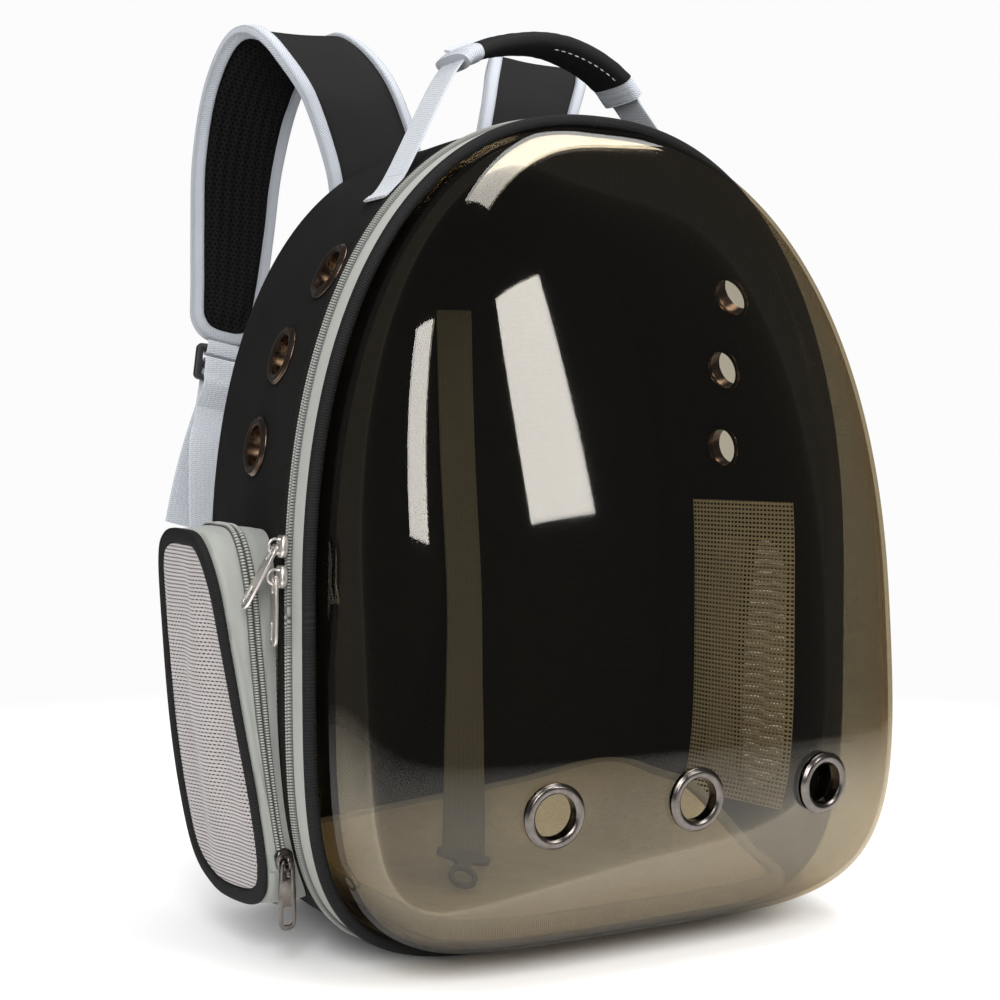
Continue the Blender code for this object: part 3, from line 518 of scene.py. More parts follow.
def herringbone(pitch, column):
    def threads(u, v):
        lean = abs(u.step(column) - 0.5) * column
        return (v + lean * 1.6).wave(pitch)
    return threads


def webbing_threads(u, v):
    """Fine rows across, and stronger cords along the webbing."""
    cords = u.wave(0.0026)
    return (v + 0.0006 * (u.step(0.0052) > 0.5)).wave(0.0012) * (0.55 + 0.45 * cords)


BLACK = (0.0135, 0.0127, 0.012)
PALE = (0.49, 0.515, 0.555)
WARM_GREY = (0.32, 0.325, 0.295)
black_twill = cloth("black_twill", BLACK, twill(0.0014), relief=0.0004, gap=0.30, worn=0.12)
strap_twill = cloth("strap_twill", (0.0125, 0.012, 0.012), twill(0.0009), relief=0.00012)
black_binding = cloth("black_binding", (0.013, 0.013, 0.013), ribs(0.0011), rough=0.8)
piping_cloth = cloth("piping_cloth", (0.014, 0.014, 0.015), ribs(0.0013, 0.002), relief=0.0004)
pale_webbing = cloth("pale_webbing", PALE, webbing_threads, relief=0.0003, gap=0.72, worn=0.05)
pale_binding = cloth("pale_binding", (0.39, 0.41, 0.45), herringbone(0.0013, 0.0035), gap=0.75)
zip_cloth = cloth("zip_cloth", WARM_GREY, herringbone(0.0012, 0.0032), relief=0.0002, gap=0.80)
pocket_cloth = cloth("pocket_cloth", (0.27, 0.278, 0.256), twill(0.0010), relief=0.0001, gap=0.85)
# The leash's webbing is given a colour far darker than its own: painted shade for the shadow it
# hangs in inside the dome
leash_cloth = cloth("leash_cloth", (0.18, 0.17, 0.15), webbing_threads, gap=0.6, worn=0.05)
mat_binding = cloth("mat_binding", (0.33, 0.32, 0.30), ribs(0.0013), gap=0.7)
print("cloths:", len(bpy.data.materials))

# %% [markdown]
# ## Net, spacer mesh and fleece
# The pocket's net has rows of long slits, and the window's net a square grid of holes. Where
# a hole is, the material is see-through, so a net is one sheet whose alpha is cut by the
# pattern. Spacer mesh is the black padding cloth of straps: rows of small dimples. Fleece
# is a soft pile without a weave.


# %% Net, spacer mesh and fleece
def net_cloth(name, colour, row, column, open_share, stagger=0.5):
    """Rows of slits; stagger moves every second row by that share of a column."""
    finish = Finish(name)
    u, v = finish.chart()
    shift = (v.step(row * 2) > 0.5) * (column * stagger)
    inside_row = abs(v.step(row) - 0.5) < open_share * 0.5
    inside_column = abs((u + shift).step(column) - 0.5) < 0.36
    slit = inside_row * inside_column
    cord = abs(v.step(row) - 0.5) * 2
    slow = finish.speckle(0.02)
    base = finish.mix(slow, shade(colour, 0.88), shade(colour, 1.12))
    finish.set(Base_Color=base, Roughness=0.72 - 0.1 * slow, Alpha=1 - slit)
    finish.set(Sheen_Weight=0.3)
    finish.bump(cord, 0.0003)
    return finish.material


def spacer_mesh(name, colour, row, column):
    """Rows of dimples on soft ridges, every second row moved by half a column; the holes are
    darkened as painted shade.
    """
    finish = Finish(name)
    u, v = finish.chart()
    shift = (v.step(row * 2) > 0.5) * (column * 0.5)
    x = (u + shift).step(column) - 0.5
    y = v.step(row) - 0.5
    dimple = (x * x + y * y).math("SQRT")
    hole = (dimple < 0.27) * 1.0
    ridge = u.wave(0.0062)
    # painted shade: the holes of the dimples are made a fifth as bright as the ridges
    base = finish.mix(hole, shade(colour, 1.25), shade(colour, 0.25))
    finish.set(Base_Color=base, Roughness=0.92 - 0.08 * ridge)
    finish.set(Specular_IOR_Level=0.08)
    finish.bump(dimple * 0.6 + ridge, 0.0008)
    return finish.material


def fleece(name, colour):
    """A pile of short fibres in larger tufts."""
    finish = Finish(name)
    pile = finish.speckle(0.0022, detail=6.0)
    tuft = finish.speckle(0.011, detail=3.0)
    base = finish.mix(pile * 0.7 + tuft * 0.5, shade(colour, 0.66), shade(colour, 1.2))
    finish.set(Base_Color=base, Roughness=0.95 - 0.05 * tuft)
    finish.set(Sheen_Weight=0.5)
    finish.bump(pile + 0.8 * tuft, 0.0012)
    return finish.material


pocket_net = net_cloth("pocket_net", (0.34, 0.31, 0.305), 0.0019, 0.0024, 0.36)
# The window net's beige is its own, but it is made paler than that as painted light, for the light
# shining through it from outside
window_net = net_cloth("window_net", (0.84, 0.77, 0.64), 0.0026, 0.0030, 0.46, 0.0)
black_mesh = spacer_mesh("black_mesh", (0.005, 0.005, 0.005), 0.0026, 0.0030)
mat_fleece = fleece("mat_fleece", (0.50, 0.44, 0.34))

# %% [markdown]
# ## Plastics and metals
# The dome is smoked brown acrylic. Its colour comes from what passes through it, so two
# Transparent shaders tint the light, a deeper one where the plastic is seen edge-on, and
# Fresnel mixes in the gloss. The eyelets are gunmetal with worn rims, the sliders nickel.


# %% Plastics and metals
def smoked_plastic(name):
    finish = Finish(name)
    haze = finish.speckle(0.05, detail=4.0)
    facing = finish.node("ShaderNodeLayerWeight", None, 0.30, out=1)
    mirror = finish.node("ShaderNodeFresnel", None, 1.38)
    finish.set(Base_Color=(0.95, 0.93, 0.90, 1), Roughness=0.02 + 0.03 * haze, Metallic=1.0)
    face_on = finish.node("ShaderNodeBsdfTransparent", None, (0.65, 0.625, 0.56, 1))
    edge_on = finish.node("ShaderNodeBsdfTransparent", None, (0.71, 0.575, 0.36, 1))
    tint = finish.node("ShaderNodeMixShader", None, facing**1.5, face_on, edge_on)
    gloss = Value(finish, finish.shader.outputs[0])
    whole = finish.node("ShaderNodeMixShader", None, mirror * 0.32 + 0.022, tint, gloss)
    finish.put(finish.tree.nodes["Material Output"].inputs["Surface"], whole)
    return finish.material


def metal(name, colour, rough, tarnish):
    finish = Finish(name)
    patch = finish.speckle(0.004, detail=5.0)
    grain = finish.speckle(0.0004)
    base = finish.mix(patch, shade(colour, 1.1), tarnish)
    finish.set(Base_Color=base, Roughness=rough + 0.25 * (patch * patch), Metallic=1.0)
    finish.bump(grain + patch, 0.00005)
    return finish.material


def moulded(name, colour, rough):
    finish = Finish(name)
    grain = finish.speckle(0.0008, detail=3.0)
    slow = finish.speckle(0.012)
    base = finish.mix(slow, shade(colour, 0.85), shade(colour, 1.25))
    finish.set(Base_Color=base, Roughness=rough + 0.15 * grain)
    finish.bump(grain, 0.00006)
    return finish.material


smoked = smoked_plastic("smoked_plastic")
gunmetal = metal("gunmetal", (0.17, 0.155, 0.145), 0.15, (0.09, 0.075, 0.065, 1))
copper_metal = metal("copper_metal", (0.17, 0.13, 0.105), 0.18, (0.12, 0.07, 0.045, 1))
nickel = metal("nickel", (0.88, 0.84, 0.81), 0.27, (0.70, 0.64, 0.59, 1))
black_plastic = moulded("black_plastic", (0.014, 0.014, 0.015), 0.34)
grey_plastic = moulded("grey_plastic", (0.10, 0.10, 0.11), 0.40)

# %% [markdown]
# ## Dome
# A thin shell: a grid wrapped from the middle of the inside, over the flange behind the
# piping, to the middle of the outside. Its depth at each point is the product of an arch
# from bottom to top and one from side to side, which keeps it convex all over.


# %% Dome
def half_at(z, inset=0.0):
    """Half width of the front outline at a height."""
    if z >= SHOULDER_Z:
        share, power = (z - SHOULDER_Z) / (BODY_HEIGHT - inset - SHOULDER_Z), TOP_POWER
    else:
        share, power = (SHOULDER_Z - z) / (SHOULDER_Z - inset), LOW_POWER
    return (HALF - inset) * max(0.0, 1 - min(1.0, share) ** power) ** (1 / power)


def dome_depth(x, z, inset, depth):
    """How far the dome stands out in front at x and z."""
    if z >= DEEPEST_Z:
        share, power = (z - DEEPEST_Z) / (BODY_HEIGHT - inset - DEEPEST_Z), DOME_TOP_POWER
    else:
        share, power = (DEEPEST_Z - z) / (DEEPEST_Z - inset), DOME_LOW_POWER
    tall = depth * max(0.0, 1 - min(1.0, share) ** power) ** (1 / power)
    wide = min(1.0, abs(x) / max(half_at(z, inset), 1e-6))
    return tall * max(0.0, 1 - wide**DOME_SIDE_POWER) ** (1 / DOME_SIDE_POWER)


DOME_ROWS = 111
FLANGE_SHARE = 0.045


def dome_place(u, v):
    turn = turn_at(u)
    outside = v > 0.5
    inset = DOME_INSET if outside else DOME_INSET + DOME_WALL
    depth = DOME_DEPTH if outside else DOME_DEPTH - DOME_WALL
    away = (abs(2 * v - 1) - 1 / DOME_ROWS) / (1 - 1 / DOME_ROWS)
    if away < FLANGE_SHARE:
        return on_wall(turn, PIPING_DEPTH * (1 - away / FLANGE_SHARE), -inset)[0]
    share = 1 - (1 - (1 - away) / (1 - FLANGE_SHARE)) ** 2.6
    edge = on_wall(turn, 0.0, -inset)[0]
    x, z = outline(turn)
    tall = BODY_HEIGHT - SHOULDER_Z if z > SHOULDER_Z else SHOULDER_Z
    x *= (HALF - inset) / HALF * share
    z = SHOULDER_Z + (z - SHOULDER_Z) * (tall - inset) / tall
    z = DEEPEST_Z + (z - DEEPEST_Z) * share
    front = FRONT_Y - dome_depth(x, z, inset, depth)
    return edge.x * share, front, DEEPEST_Z + (edge.z - DEEPEST_Z) * share


dome = wrap("dome", 220, DOME_ROWS, dome_place, lambda u, v: (u * ROUND, v * 0.5), closed=True)


def dome_frame(x, z):
    """A local frame on the outside of the dome, z outwards."""
    step = 0.002
    left, right, down, up = (
        dome_depth(x + dx, z + dz, DOME_INSET, DOME_DEPTH)
        for dx, dz in ((-step, 0), (step, 0), (0, -step), (0, step))
    )
    out = Vector(((left - right) / (2 * step), -1, (down - up) / (2 * step))).normalized()
    across = (Vector((1, 0, 0)) - out * out.x).normalized()
    front = FRONT_Y - dome_depth(x, z, DOME_INSET, DOME_DEPTH)
    return frame_of(Vector((x, front, z)), across, out.cross(across), out)


def drill(piece, place):
    """Cuts an eyelet's hole along a frame's z axis."""
    deselect()
    bpy.ops.mesh.primitive_cylinder_add(vertices=64, radius=EYELET_HOLE, depth=0.024)
    cutter = bpy.context.object
    cutter.data.transform(place)
    cut(piece, cutter)


dome_holes = [dome_frame(x, DOME_EYELET_Z) for x in (-DOME_EYELET_X, 0.0, DOME_EYELET_X)]
for place in dome_holes:
    drill(dome, place)
dress(dome, smoked, "clear_dome", "bubble", angle=60)

# %% [markdown]
# ## Eyelets
# An eyelet is a tube with a rolled rim outside and a washer inside. One section is turned
# round the hole's axis; the dome's eyelets and the wall's differ only in the sheet between
# rim and washer. Each is modelled once and copied.


# %% Eyelets
def eyelet(name, wall):
    """A turned ring whose frame has the sheet from -wall to 0."""
    hole, tube, rim = EYELET_HOLE - 0.0012, EYELET_HOLE - GAP, EYELET_RIM
    back = -wall - 0.0017
    section = (
        *((hole, back - 0.0006), (hole, 0.0008), (hole + 0.0004, 0.0017)),
        *((hole + 0.0016, 0.0024), (hole + 0.0034, 0.0023), (rim - 0.0008, 0.0015)),
        *((rim, 0.0006), (rim - 0.0006, 0.0004), (tube + 0.0006, 0.0005), (tube, 0.0002)),
        *((tube, back + 0.0002), (tube + 0.0006, back), (rim - 0.0024, back)),
        *((rim - 0.0020, back - 0.0005), (hole + 0.0018, back - 0.0013)),
    )
    curve = smooth([(r, z, 0) for r, z in section], 3, closed=True)

    def place(u, v):
        spot = curve[round(v * len(curve)) % len(curve)]
        angle = 2 * math.pi * u
        return spot.x * math.cos(angle), spot.x * math.sin(angle), spot.y

    return wrap(name, 56, len(curve), place, lambda u, v: (u * 0.08, v * 0.02), closed=True)


def set_eyelets(model, places, finish):
    """Copies the eyelet to each place, named after the CAD node there."""
    for node, place in places:
        piece = copied(model, node.replace("grommet", "eyelet"), place)
        dress(piece, finish, "eyelet_metal", node)
    bpy.data.objects.remove(model)


set_eyelets(
    eyelet("dome_eyelet", DOME_WALL),
    [(f"bubble_grommet_{i}", place) for i, place in enumerate(dome_holes, 1)],
    gunmetal,
)
wall_holes = {
    f"wall_grommet_{'R' if right else 'L'}{i}": side_frame(turn_at_height(z, right), depth)
    for right in (False, True)
    for i, (depth, z) in enumerate(WALL_EYELETS, 1)
}
set_eyelets(eyelet("wall_eyelet", WALL), wall_holes.items(), copper_metal)

# %% [markdown]
# ## Piping and zip
# The dome sits in a cloth-covered piping. Behind it two tapes meet in a coil zip. The coil
# is two rows of turned nylon, so its profile has two ridges, and each ridge rises and falls
# once for every tooth; the two rows are half a tooth apart.


# %% Piping
def piping_place(u, v):
    d, off = rounded(u, PIPING_DEPTH / 2, PIPING_WIDTH / 2, 2.5)
    return on_wall(turn_at(v), PIPING_DEPTH / 2 + d, off - PIPING_WIDTH / 2)[0]


piping = wrap(
    "front_piping_cord", 20, 640, piping_place, lambda u, v: (u * 0.022, v * ROUND), closed=True
)
dress(piping, piping_cloth, "black_fabric", "front_piping")


# %% Zip tape and coil
TAPE_RIDGE, TAPE_RIDGE_HALF = 0.0006, 0.0011  # woven ridges on both sides of the coil


def tape_place(u, v):
    start, end = PIPING_DEPTH + GAP, PIPING_DEPTH + TAPE_DEPTH
    d, off = rounded(u, (end - start) / 2, TAPE / 2, 7.0)
    depth = (start + end) / 2 + d
    if off > 0:
        for edge in (COIL_START - 0.0014, COIL_START + COIL_WIDTH + 0.0012):
            off += TAPE_RIDGE * math.exp(-(((depth - edge) / TAPE_RIDGE_HALF) ** 2))
    return on_wall(turn_at(v), depth, off - TAPE_SINK - TAPE / 2)[0]


def tape_chart(u, v):
    return rounded(u, TAPE_DEPTH / 2, TAPE / 2, 7.0)[0], v * ROUND


tape = wrap("main_zip_tape", 56, 520, tape_place, tape_chart, closed=True)
dress(tape, zip_cloth, "grey_tape", "zip_tape")

TOOTH = 0.00135
COIL_CHART, COIL_TOP = 0.015, 0.7  # the chart's width, and the share of it on the visible side
COIL_ROW = COIL_TOP / 2 * COIL_CHART


def coil_nylon(name, colour, gap):
    """Nylon with painted shade darkening the gaps between the teeth and the edges of each row; the
    second row is half a tooth on.
    """
    finish = Finish(name)
    u, v = finish.chart()
    row = (u > COIL_ROW) * 0.5
    tooth = abs(((v / TOOTH + row) * math.pi).math("SINE"))
    ridge = abs(((u / COIL_ROW) * math.pi).math("SINE"))
    slow = finish.speckle(0.01)
    # painted shade: dark between the teeth and along the edges of each row
    base = finish.mix((tooth * 1.4 - 0.3) * ridge, gap, shade(colour, 1.0))
    finish.set(Base_Color=base, Roughness=0.36 + 0.15 * slow)
    return finish.material


# the second colour is painted shade for the gaps between the teeth
coil_plastic = coil_nylon("coil_plastic", (0.37, 0.375, 0.345), (0.028, 0.028, 0.026, 1))


def tooth_height(across, along, teeth):
    """Height from 0 to 1 of a coil zip, for shares across it and along it."""
    row = 0 if across < 0.5 else 0.5
    ridge = max(0.0, math.sin(2 * math.pi * (across % 0.5))) ** 0.6
    tooth = abs(math.sin(math.pi * (along * teeth + row)))
    return ridge * (0.45 + 0.55 * tooth)


def coil_ring(name, teeth, base):
    """A closed ring of coil zip; base(across, along, height) puts a point over the tape."""

    def place(u, v):
        if u < COIL_TOP:
            across = u / COIL_TOP
            return base(across, v, tooth_height(across, v, teeth))
        return base((1 - u) / 0.3, v, -0.15)

    def chart(u, v):
        return u * COIL_CHART, v * teeth * TOOTH

    return wrap(name, 20, teeth * 4, place, chart, closed=True)


def main_coil(across, v, height):
    turn = turn_at(v)
    lift = min(1.0, max(0.0, (outline(turn)[1] - 0.004) / 0.012))
    foot = -TAPE_SINK + GAP
    top = -0.0002 + (COIL_RISE + 0.0004) * lift
    off = foot + (top - foot) * height
    return on_wall(turn, COIL_START + COIL_WIDTH * across, off)[0]


coil = coil_ring("main_zip_coil", int(ROUND / TOOTH), main_coil)
dress(coil, coil_plastic, "grey_coil", "zip_coil", angle=75)

# %% [markdown]
# ## Body wall
# The wall is black twill over foam: one closed band with a soft waviness, drilled for the
# eyelets. A block with rounded corners cuts both side windows. A narrow hem stands up at
# each long edge.

# %% Body wall
WINDOW_TRIM, WINDOW_CORNER, NET_HALF = (0.004, -0.016), 0.022, 0.00012
HEMS, HEM_GROOVE, HEM_RISE, HEM_SINK = (0.0052, 0.0048), 0.0006, 0.0003, 0.0005
WALL_START, WALL_STEP = PIPING_DEPTH + GAP, PIPING_DEPTH + TAPE_DEPTH + GAP
UNDER_TAPE = -TAPE_SINK - TAPE - GAP
WALL_SECTION = (
    [(WALL_START, UNDER_TAPE), (WALL_STEP - 0.0004, UNDER_TAPE), (WALL_STEP, -0.0004)]
    + [(WALL_STEP + 0.0006 + d * 0.0005, 0.0) for d in range(12)]
    + [(WALL_STEP + 0.0066 + d * 0.003, 0.0) for d in range(36)]
    + [(BODY_DEPTH - 0.0044 + d * 0.0006, 0.0) for d in range(7)]
    + [(BODY_DEPTH, -0.0006), (BODY_DEPTH, -WALL + 0.0005), (BODY_DEPTH - 0.0006, -WALL)]
    + [(BODY_DEPTH - 0.004 - d * 0.006, -WALL) for d in range(24)]
    + [(WALL_START, -WALL)]
)


def hem(depth):
    """Relief of the stitched hems at the front and rear edges of the wall."""
    past = (depth - WALL_STEP - HEMS[0], BODY_DEPTH - depth - HEMS[1])
    groove = sum(math.exp(-((inner / HEM_GROOVE) ** 2)) for inner in past)
    return HEM_RISE * (min(past) < 0) - HEM_SINK * groove


def wall_place(u, v):
    depth, off = WALL_SECTION[round(u * len(WALL_SECTION)) % len(WALL_SECTION)]
    turn = turn_at(v)
    spot, normal = on_wall(turn, depth, off)
    if off == 0.0:
        lift = min(1.0, max(0.0, (spot.z - 0.004) / 0.02))
        inner = min(1.0, (depth - WALL_STEP) / 0.012, (BODY_DEPTH - depth) / 0.012)
        soft = 0.0007 * fine_noise(spot, 0.045) * max(0.0, inner)
        spot += normal * (soft + hem(depth)) * lift
    return spot


def wall_chart(u, v):
    return WALL_SECTION[round(u * len(WALL_SECTION)) % len(WALL_SECTION)][0], v * ROUND


wall = wrap("body_wall", len(WALL_SECTION), 420, wall_place, wall_chart, closed=True)
for place in wall_holes.values():
    drill(wall, place)
deselect()
bpy.ops.mesh.primitive_cube_add(size=1)
window = bpy.context.object
low, high = (z + trim for z, trim in zip(WINDOW_HEIGHTS, WINDOW_TRIM))
size = (HALF * 4, WINDOW_DEPTHS[1] - WINDOW_DEPTHS[0] - 0.004, high - low)
middle = (0, at(sum(WINDOW_DEPTHS) / 2), (low + high) / 2)
window.data.transform(Matrix.Translation(middle) @ Matrix.Diagonal((*size, 1)))
modify(window, "BEVEL", width=WINDOW_CORNER, segments=8)
cut(wall, window)
dress(wall, black_twill, "black_fabric", "gusset_wall", angle=50)


# %% Window nets
def window_sheet(name, right):
    low, high = WINDOW_HEIGHTS[0] - WINDOW_SEAM, WINDOW_HEIGHTS[1] + WINDOW_SEAM
    near, far = WINDOW_DEPTHS[0] - WINDOW_SEAM, WINDOW_DEPTHS[1] + WINDOW_SEAM
    middle, half = (near + far) / 2, (far - near) / 2

    def place(u, v):
        d, off = rounded(u, half, NET_HALF, 9.0)
        turn = turn_at_height(low + (high - low) * v, right)
        bow = 0.004 * math.sin(math.pi * v) * (1 - (d / half) ** 2)
        return on_wall(turn, middle + d, off - WALL - GAP - 0.0009 - bow)[0]

    def chart(u, v):
        return rounded(u, half, NET_HALF, 9.0)[0], (high - low) * v

    return wrap(name, 36, 48, place, chart, closed=True, capped=True)


for right, tag in ((False, "L"), (True, "R")):
    sheet = window_sheet(f"window_sheet_{tag}", right)
    dress(sheet, window_net, "net", f"window_net_{tag}")

# %% [markdown]
# ## Back panel and cushion
# The wearer's side is a stiff panel set inside the wall, with a padded cushion on it. The
# cushion is stuffed, so it is swelled by a short cloth simulation from a flatter shape, and
# the channels that let air through are pressed in afterwards.


# %% Back panel
BACK_THICK, CUSHION_THICK, CUSHION_MARGIN = 0.008, 0.012, 0.030
MIDDLE_Z = 0.19


def back_place(u, v):
    inset = WALL + GAP
    away = abs(2 * v - 1)
    share = min(1.0, (1 - away) * 1.06)
    depth = BODY_DEPTH - 0.0004 if v > 0.5 else BODY_DEPTH - BACK_THICK
    if share >= 1.0:
        depth += (BACK_THICK * 0.12) * (1 if v < 0.5 else -1)
    edge = on_wall(turn_at(u), depth, -inset)[0]
    pull = 0.0012 * fine_noise((edge.x * share, 0, edge.z * share), 0.07) * min(1, (1 - share) * 6)
    z = MIDDLE_Z + (edge.z - MIDDLE_Z) * share
    return edge.x * share, at(depth) + pull * (v <= 0.5), z


def back_chart(u, v):
    x, _, z = back_place(u, v)
    return x, z


back = wrap("back_board", 200, 60, back_place, back_chart, closed=True)
dress(back, black_twill, "black_fabric", "back_panel")


# %% A swelled cushion
PRESSURE, FRAMES = 4.0, 20


def swell(piece, voxel, cap):
    """Stuffs a closed shape by cloth simulation; no point goes further than cap. A voxel
    size remeshes it first."""
    if voxel:
        modify(piece, "REMESH", mode="VOXEL", voxel_size=voxel)
    before = read_points(piece.data)
    step = piece.modifiers.new("swell", "CLOTH")
    step.settings.use_pressure = True
    step.settings.uniform_pressure_force = PRESSURE
    step.settings.effector_weights.gravity = 0
    step.settings.quality = 4
    scene = bpy.context.scene
    for number in range(1, FRAMES + 1):
        scene.frame_set(number)
    seen = piece.evaluated_get(bpy.context.evaluated_depsgraph_get())
    move = read_points(seen.data) - before
    piece.modifiers.remove(step)
    scene.frame_set(1)
    far = np.linalg.norm(move, axis=1, keepdims=True)
    move *= np.minimum(1.0, cap / np.maximum(far, 1e-9))
    write_points(piece.data, before + move)
    modify(piece, "SUBSURF", levels=1, render_levels=1)


CUSHION_TOP, CUSHION_LOW = 0.330, 0.030
UPRIGHT_CHANNELS, LEVEL_CHANNELS, CHANNEL_HALF = (-0.036, 0.036), (0.13, 0.235), 0.0045


def cushion_place(u, v):
    away = abs(2 * v - 1)
    share = (1 - away) ** 0.8
    edge = on_wall(turn_at(u), BODY_DEPTH)[0]
    x = edge.x * (HALF - CUSHION_MARGIN) / HALF * share
    z = CUSHION_LOW + (CUSHION_TOP - CUSHION_LOW) * edge.z / BODY_HEIGHT
    middle = (CUSHION_TOP + CUSHION_LOW) / 2
    depth = CUSHION_THICK * 0.8 * (1 - share**6) ** 0.5 if v > 0.5 else 0.0
    return x, at(BODY_DEPTH) + depth, middle + (z - middle) * share


cushion = wrap("back_pad", 160, 40, cushion_place, lambda u, v: (u, v), closed=True)
swell(cushion, 0.0045, 0.004)
for vertex in cushion.data.vertices:
    spot = vertex.co
    rise = spot.y - at(BODY_DEPTH)
    if rise > 0.002:
        groove = sum(math.exp(-(((spot.x - x) / CHANNEL_HALF) ** 2)) for x in UPRIGHT_CHANNELS)
        groove += sum(math.exp(-(((spot.z - z) / CHANNEL_HALF) ** 2)) for z in LEVEL_CHANNELS)
        spot.y -= min(1.0, groove) * rise * 0.45
    spot.y = max(spot.y, at(BODY_DEPTH) + 0.0002)
write_chart(cushion.data, [(v.co.x, v.co.z) for v in cushion.data.vertices])
dress(cushion, black_mesh, "padded_mesh", "back_cushion")

# %% [markdown]
# ## Side pockets
# Each pocket is a band of grey cloth that stands out from the body, with a coil zip round
# the middle of it, a black bound edge and a net face. All follow one outline, which is
# given as shares of the pocket's depth and height. The net sags in soft upright folds.

# %% Pocket outline
POCKET_DEPTHS, POCKET_HEIGHTS = (0.0365, 0.121), (0.031, 0.207)
POCKET_FRONT_OUT, POCKET_REAR_OUT = (0.006, 0.034), (0.014, 0.030)
POCKET_SHAPE = (
    *((0.03, 0.09), (0.11, 0.02), (0.30, 0.00), (0.60, 0.01), (0.82, 0.08), (0.93, 0.24)),
    *((0.98, 0.45), (0.97, 0.70), (0.92, 0.92), (0.78, 0.99), (0.50, 1.00), (0.25, 0.985)),
    *((0.13, 0.88), (0.12, 0.70), (0.10, 0.50), (0.05, 0.28)),
)
POCKET_WIDE = POCKET_DEPTHS[1] - POCKET_DEPTHS[0]
POCKET_TALL = POCKET_HEIGHTS[1] - POCKET_HEIGHTS[0]
BINDING, BINDING_THICK, POCKET_BULGE = 0.0075, 0.004, 0.005
POCKET_RIM = 1 - BINDING_THICK / 0.030


def pocket_point(d, h, out_share):
    """A point of the left pocket at a depth and height within it, in metres."""
    u, v = d / POCKET_WIDE, h / POCKET_TALL
    depth, z = POCKET_DEPTHS[0] + d, POCKET_HEIGHTS[0] + h
    front = POCKET_FRONT_OUT[0] + (POCKET_FRONT_OUT[1] - POCKET_FRONT_OUT[0]) * max(v, 0.0) ** 1.5
    rear = POCKET_REAR_OUT[0] + (POCKET_REAR_OUT[1] - POCKET_REAR_OUT[0]) * max(v, 0.0)
    far = HALF + front + (rear - front) * u
    near = half_at(z) * (HALF - REAR_TAPER * depth / BODY_DEPTH) / HALF + GAP * 2
    return Vector((-near - (far - near) * out_share, at(depth), z))


def pocket_line():
    """Points of the pocket's outline and their outward directions, evenly spread."""
    curve = [
        Vector((p.x * POCKET_WIDE, p.y * POCKET_TALL, 0))
        for p in smooth([(u, v, 0) for u, v in POCKET_SHAPE], 24, closed=True)
    ]
    sides = [(b - a).length for a, b in zip(curve, curve[1:] + curve[:1])]
    lengths = np.concatenate([[0], np.cumsum(sides)])
    return curve, lengths


POCKET_CURVE, POCKET_LENGTHS = pocket_line()
POCKET_ROUND = float(POCKET_LENGTHS[-1])


def pocket_edge(share, spread=0.0):
    """Depth and height within the pocket for a share of its outline, spread outwards."""
    wanted = (share % 1.0) * POCKET_ROUND
    count = len(POCKET_CURVE)
    i = int(np.searchsorted(POCKET_LENGTHS, wanted, side="right")) - 1
    a, b = POCKET_CURVE[i % count], POCKET_CURVE[(i + 1) % count]
    here = a.lerp(b, (wanted - POCKET_LENGTHS[i]) / (b - a).length)
    ahead = POCKET_CURVE[(i + 9) % count] - POCKET_CURVE[(i - 8) % count]
    ahead.normalize()
    return here.x + ahead.y * spread, here.y - ahead.x * spread


# %% Pocket wall, zip, binding and face
POCKET_SEAM, POCKET_ZIP_OUT = 0.0046, 0.42


def pocket_wall_place(u, v):
    inside = u >= 0.5
    share = (2 * u if not inside else 2 - 2 * u) * POCKET_RIM
    puff = 0.0012 * math.sin(math.pi * min(1.0, share / POCKET_RIM))
    crease = 0.0008 * fine_noise((share * 3, v * 9, 0), 0.4) * (0.2 < share < 0.8)
    spread = 0.004 + puff + crease - (0.002 if inside else 0.0)
    return pocket_point(*pocket_edge(v, spread), share)


def pocket_wall_chart(u, v):
    return abs(1 - 2 * u) * 0.03, v * POCKET_ROUND


def pocket_binding_chart(u, v):
    return u * 0.02, v * POCKET_ROUND


def pocket_coil(across, v, height):
    spread = 0.0056 + 0.0016 * height
    d, h = pocket_edge(v, spread)
    reach = (pocket_point(d, h, 1.0) - pocket_point(d, h, 0.0)).length
    half = min(0.17, 0.0034 / reach)
    return pocket_point(d, h, POCKET_ZIP_OUT + half * (2 * across - 1))


def pocket_binding_place(u, v):
    x, y = rounded(u, BINDING / 2, BINDING_THICK / 2, 3.0)
    d, h = pocket_edge(v, POCKET_SEAM - BINDING / 2 + x)
    base = pocket_point(d, h, POCKET_RIM)
    top = pocket_point(d, h, 1.0)
    reach = (top - base).length
    lean = 0.25 * (0.5 - x / BINDING) * reach
    out = (top - base).normalized()
    return base + out * (reach / 2 + y * reach / BINDING_THICK * 0.98 + lean * 0.5)


def pocket_face_place(u, v):
    away = abs(2 * v - 1)
    share = 1 - away
    d, h = pocket_edge(u, POCKET_SEAM - BINDING + 0.001)
    mid_d, mid_h = 0.52 * POCKET_WIDE, 0.50 * POCKET_TALL
    d, h = mid_d + (d - mid_d) * share, mid_h + (h - mid_h) * share
    spot = pocket_point(d, h, 1.0)
    slack = 1 - share**3
    fold = 0.0022 * math.sin(d * 210 + 3.0 * fine_noise((d, h, 0), 0.05, 2.0))
    sag = 0.0016 * fine_noise((d, h, 0), 0.025, 5.0)
    rise = POCKET_BULGE * (1 - share**2) + (fold + sag) * slack - 0.0012
    return spot - Vector((rise - (0.0005 if v < 0.5 else 0.0), 0, 0))


def pocket_face_chart(u, v):
    spot = pocket_face_place(u, v)
    return spot.y, spot.z


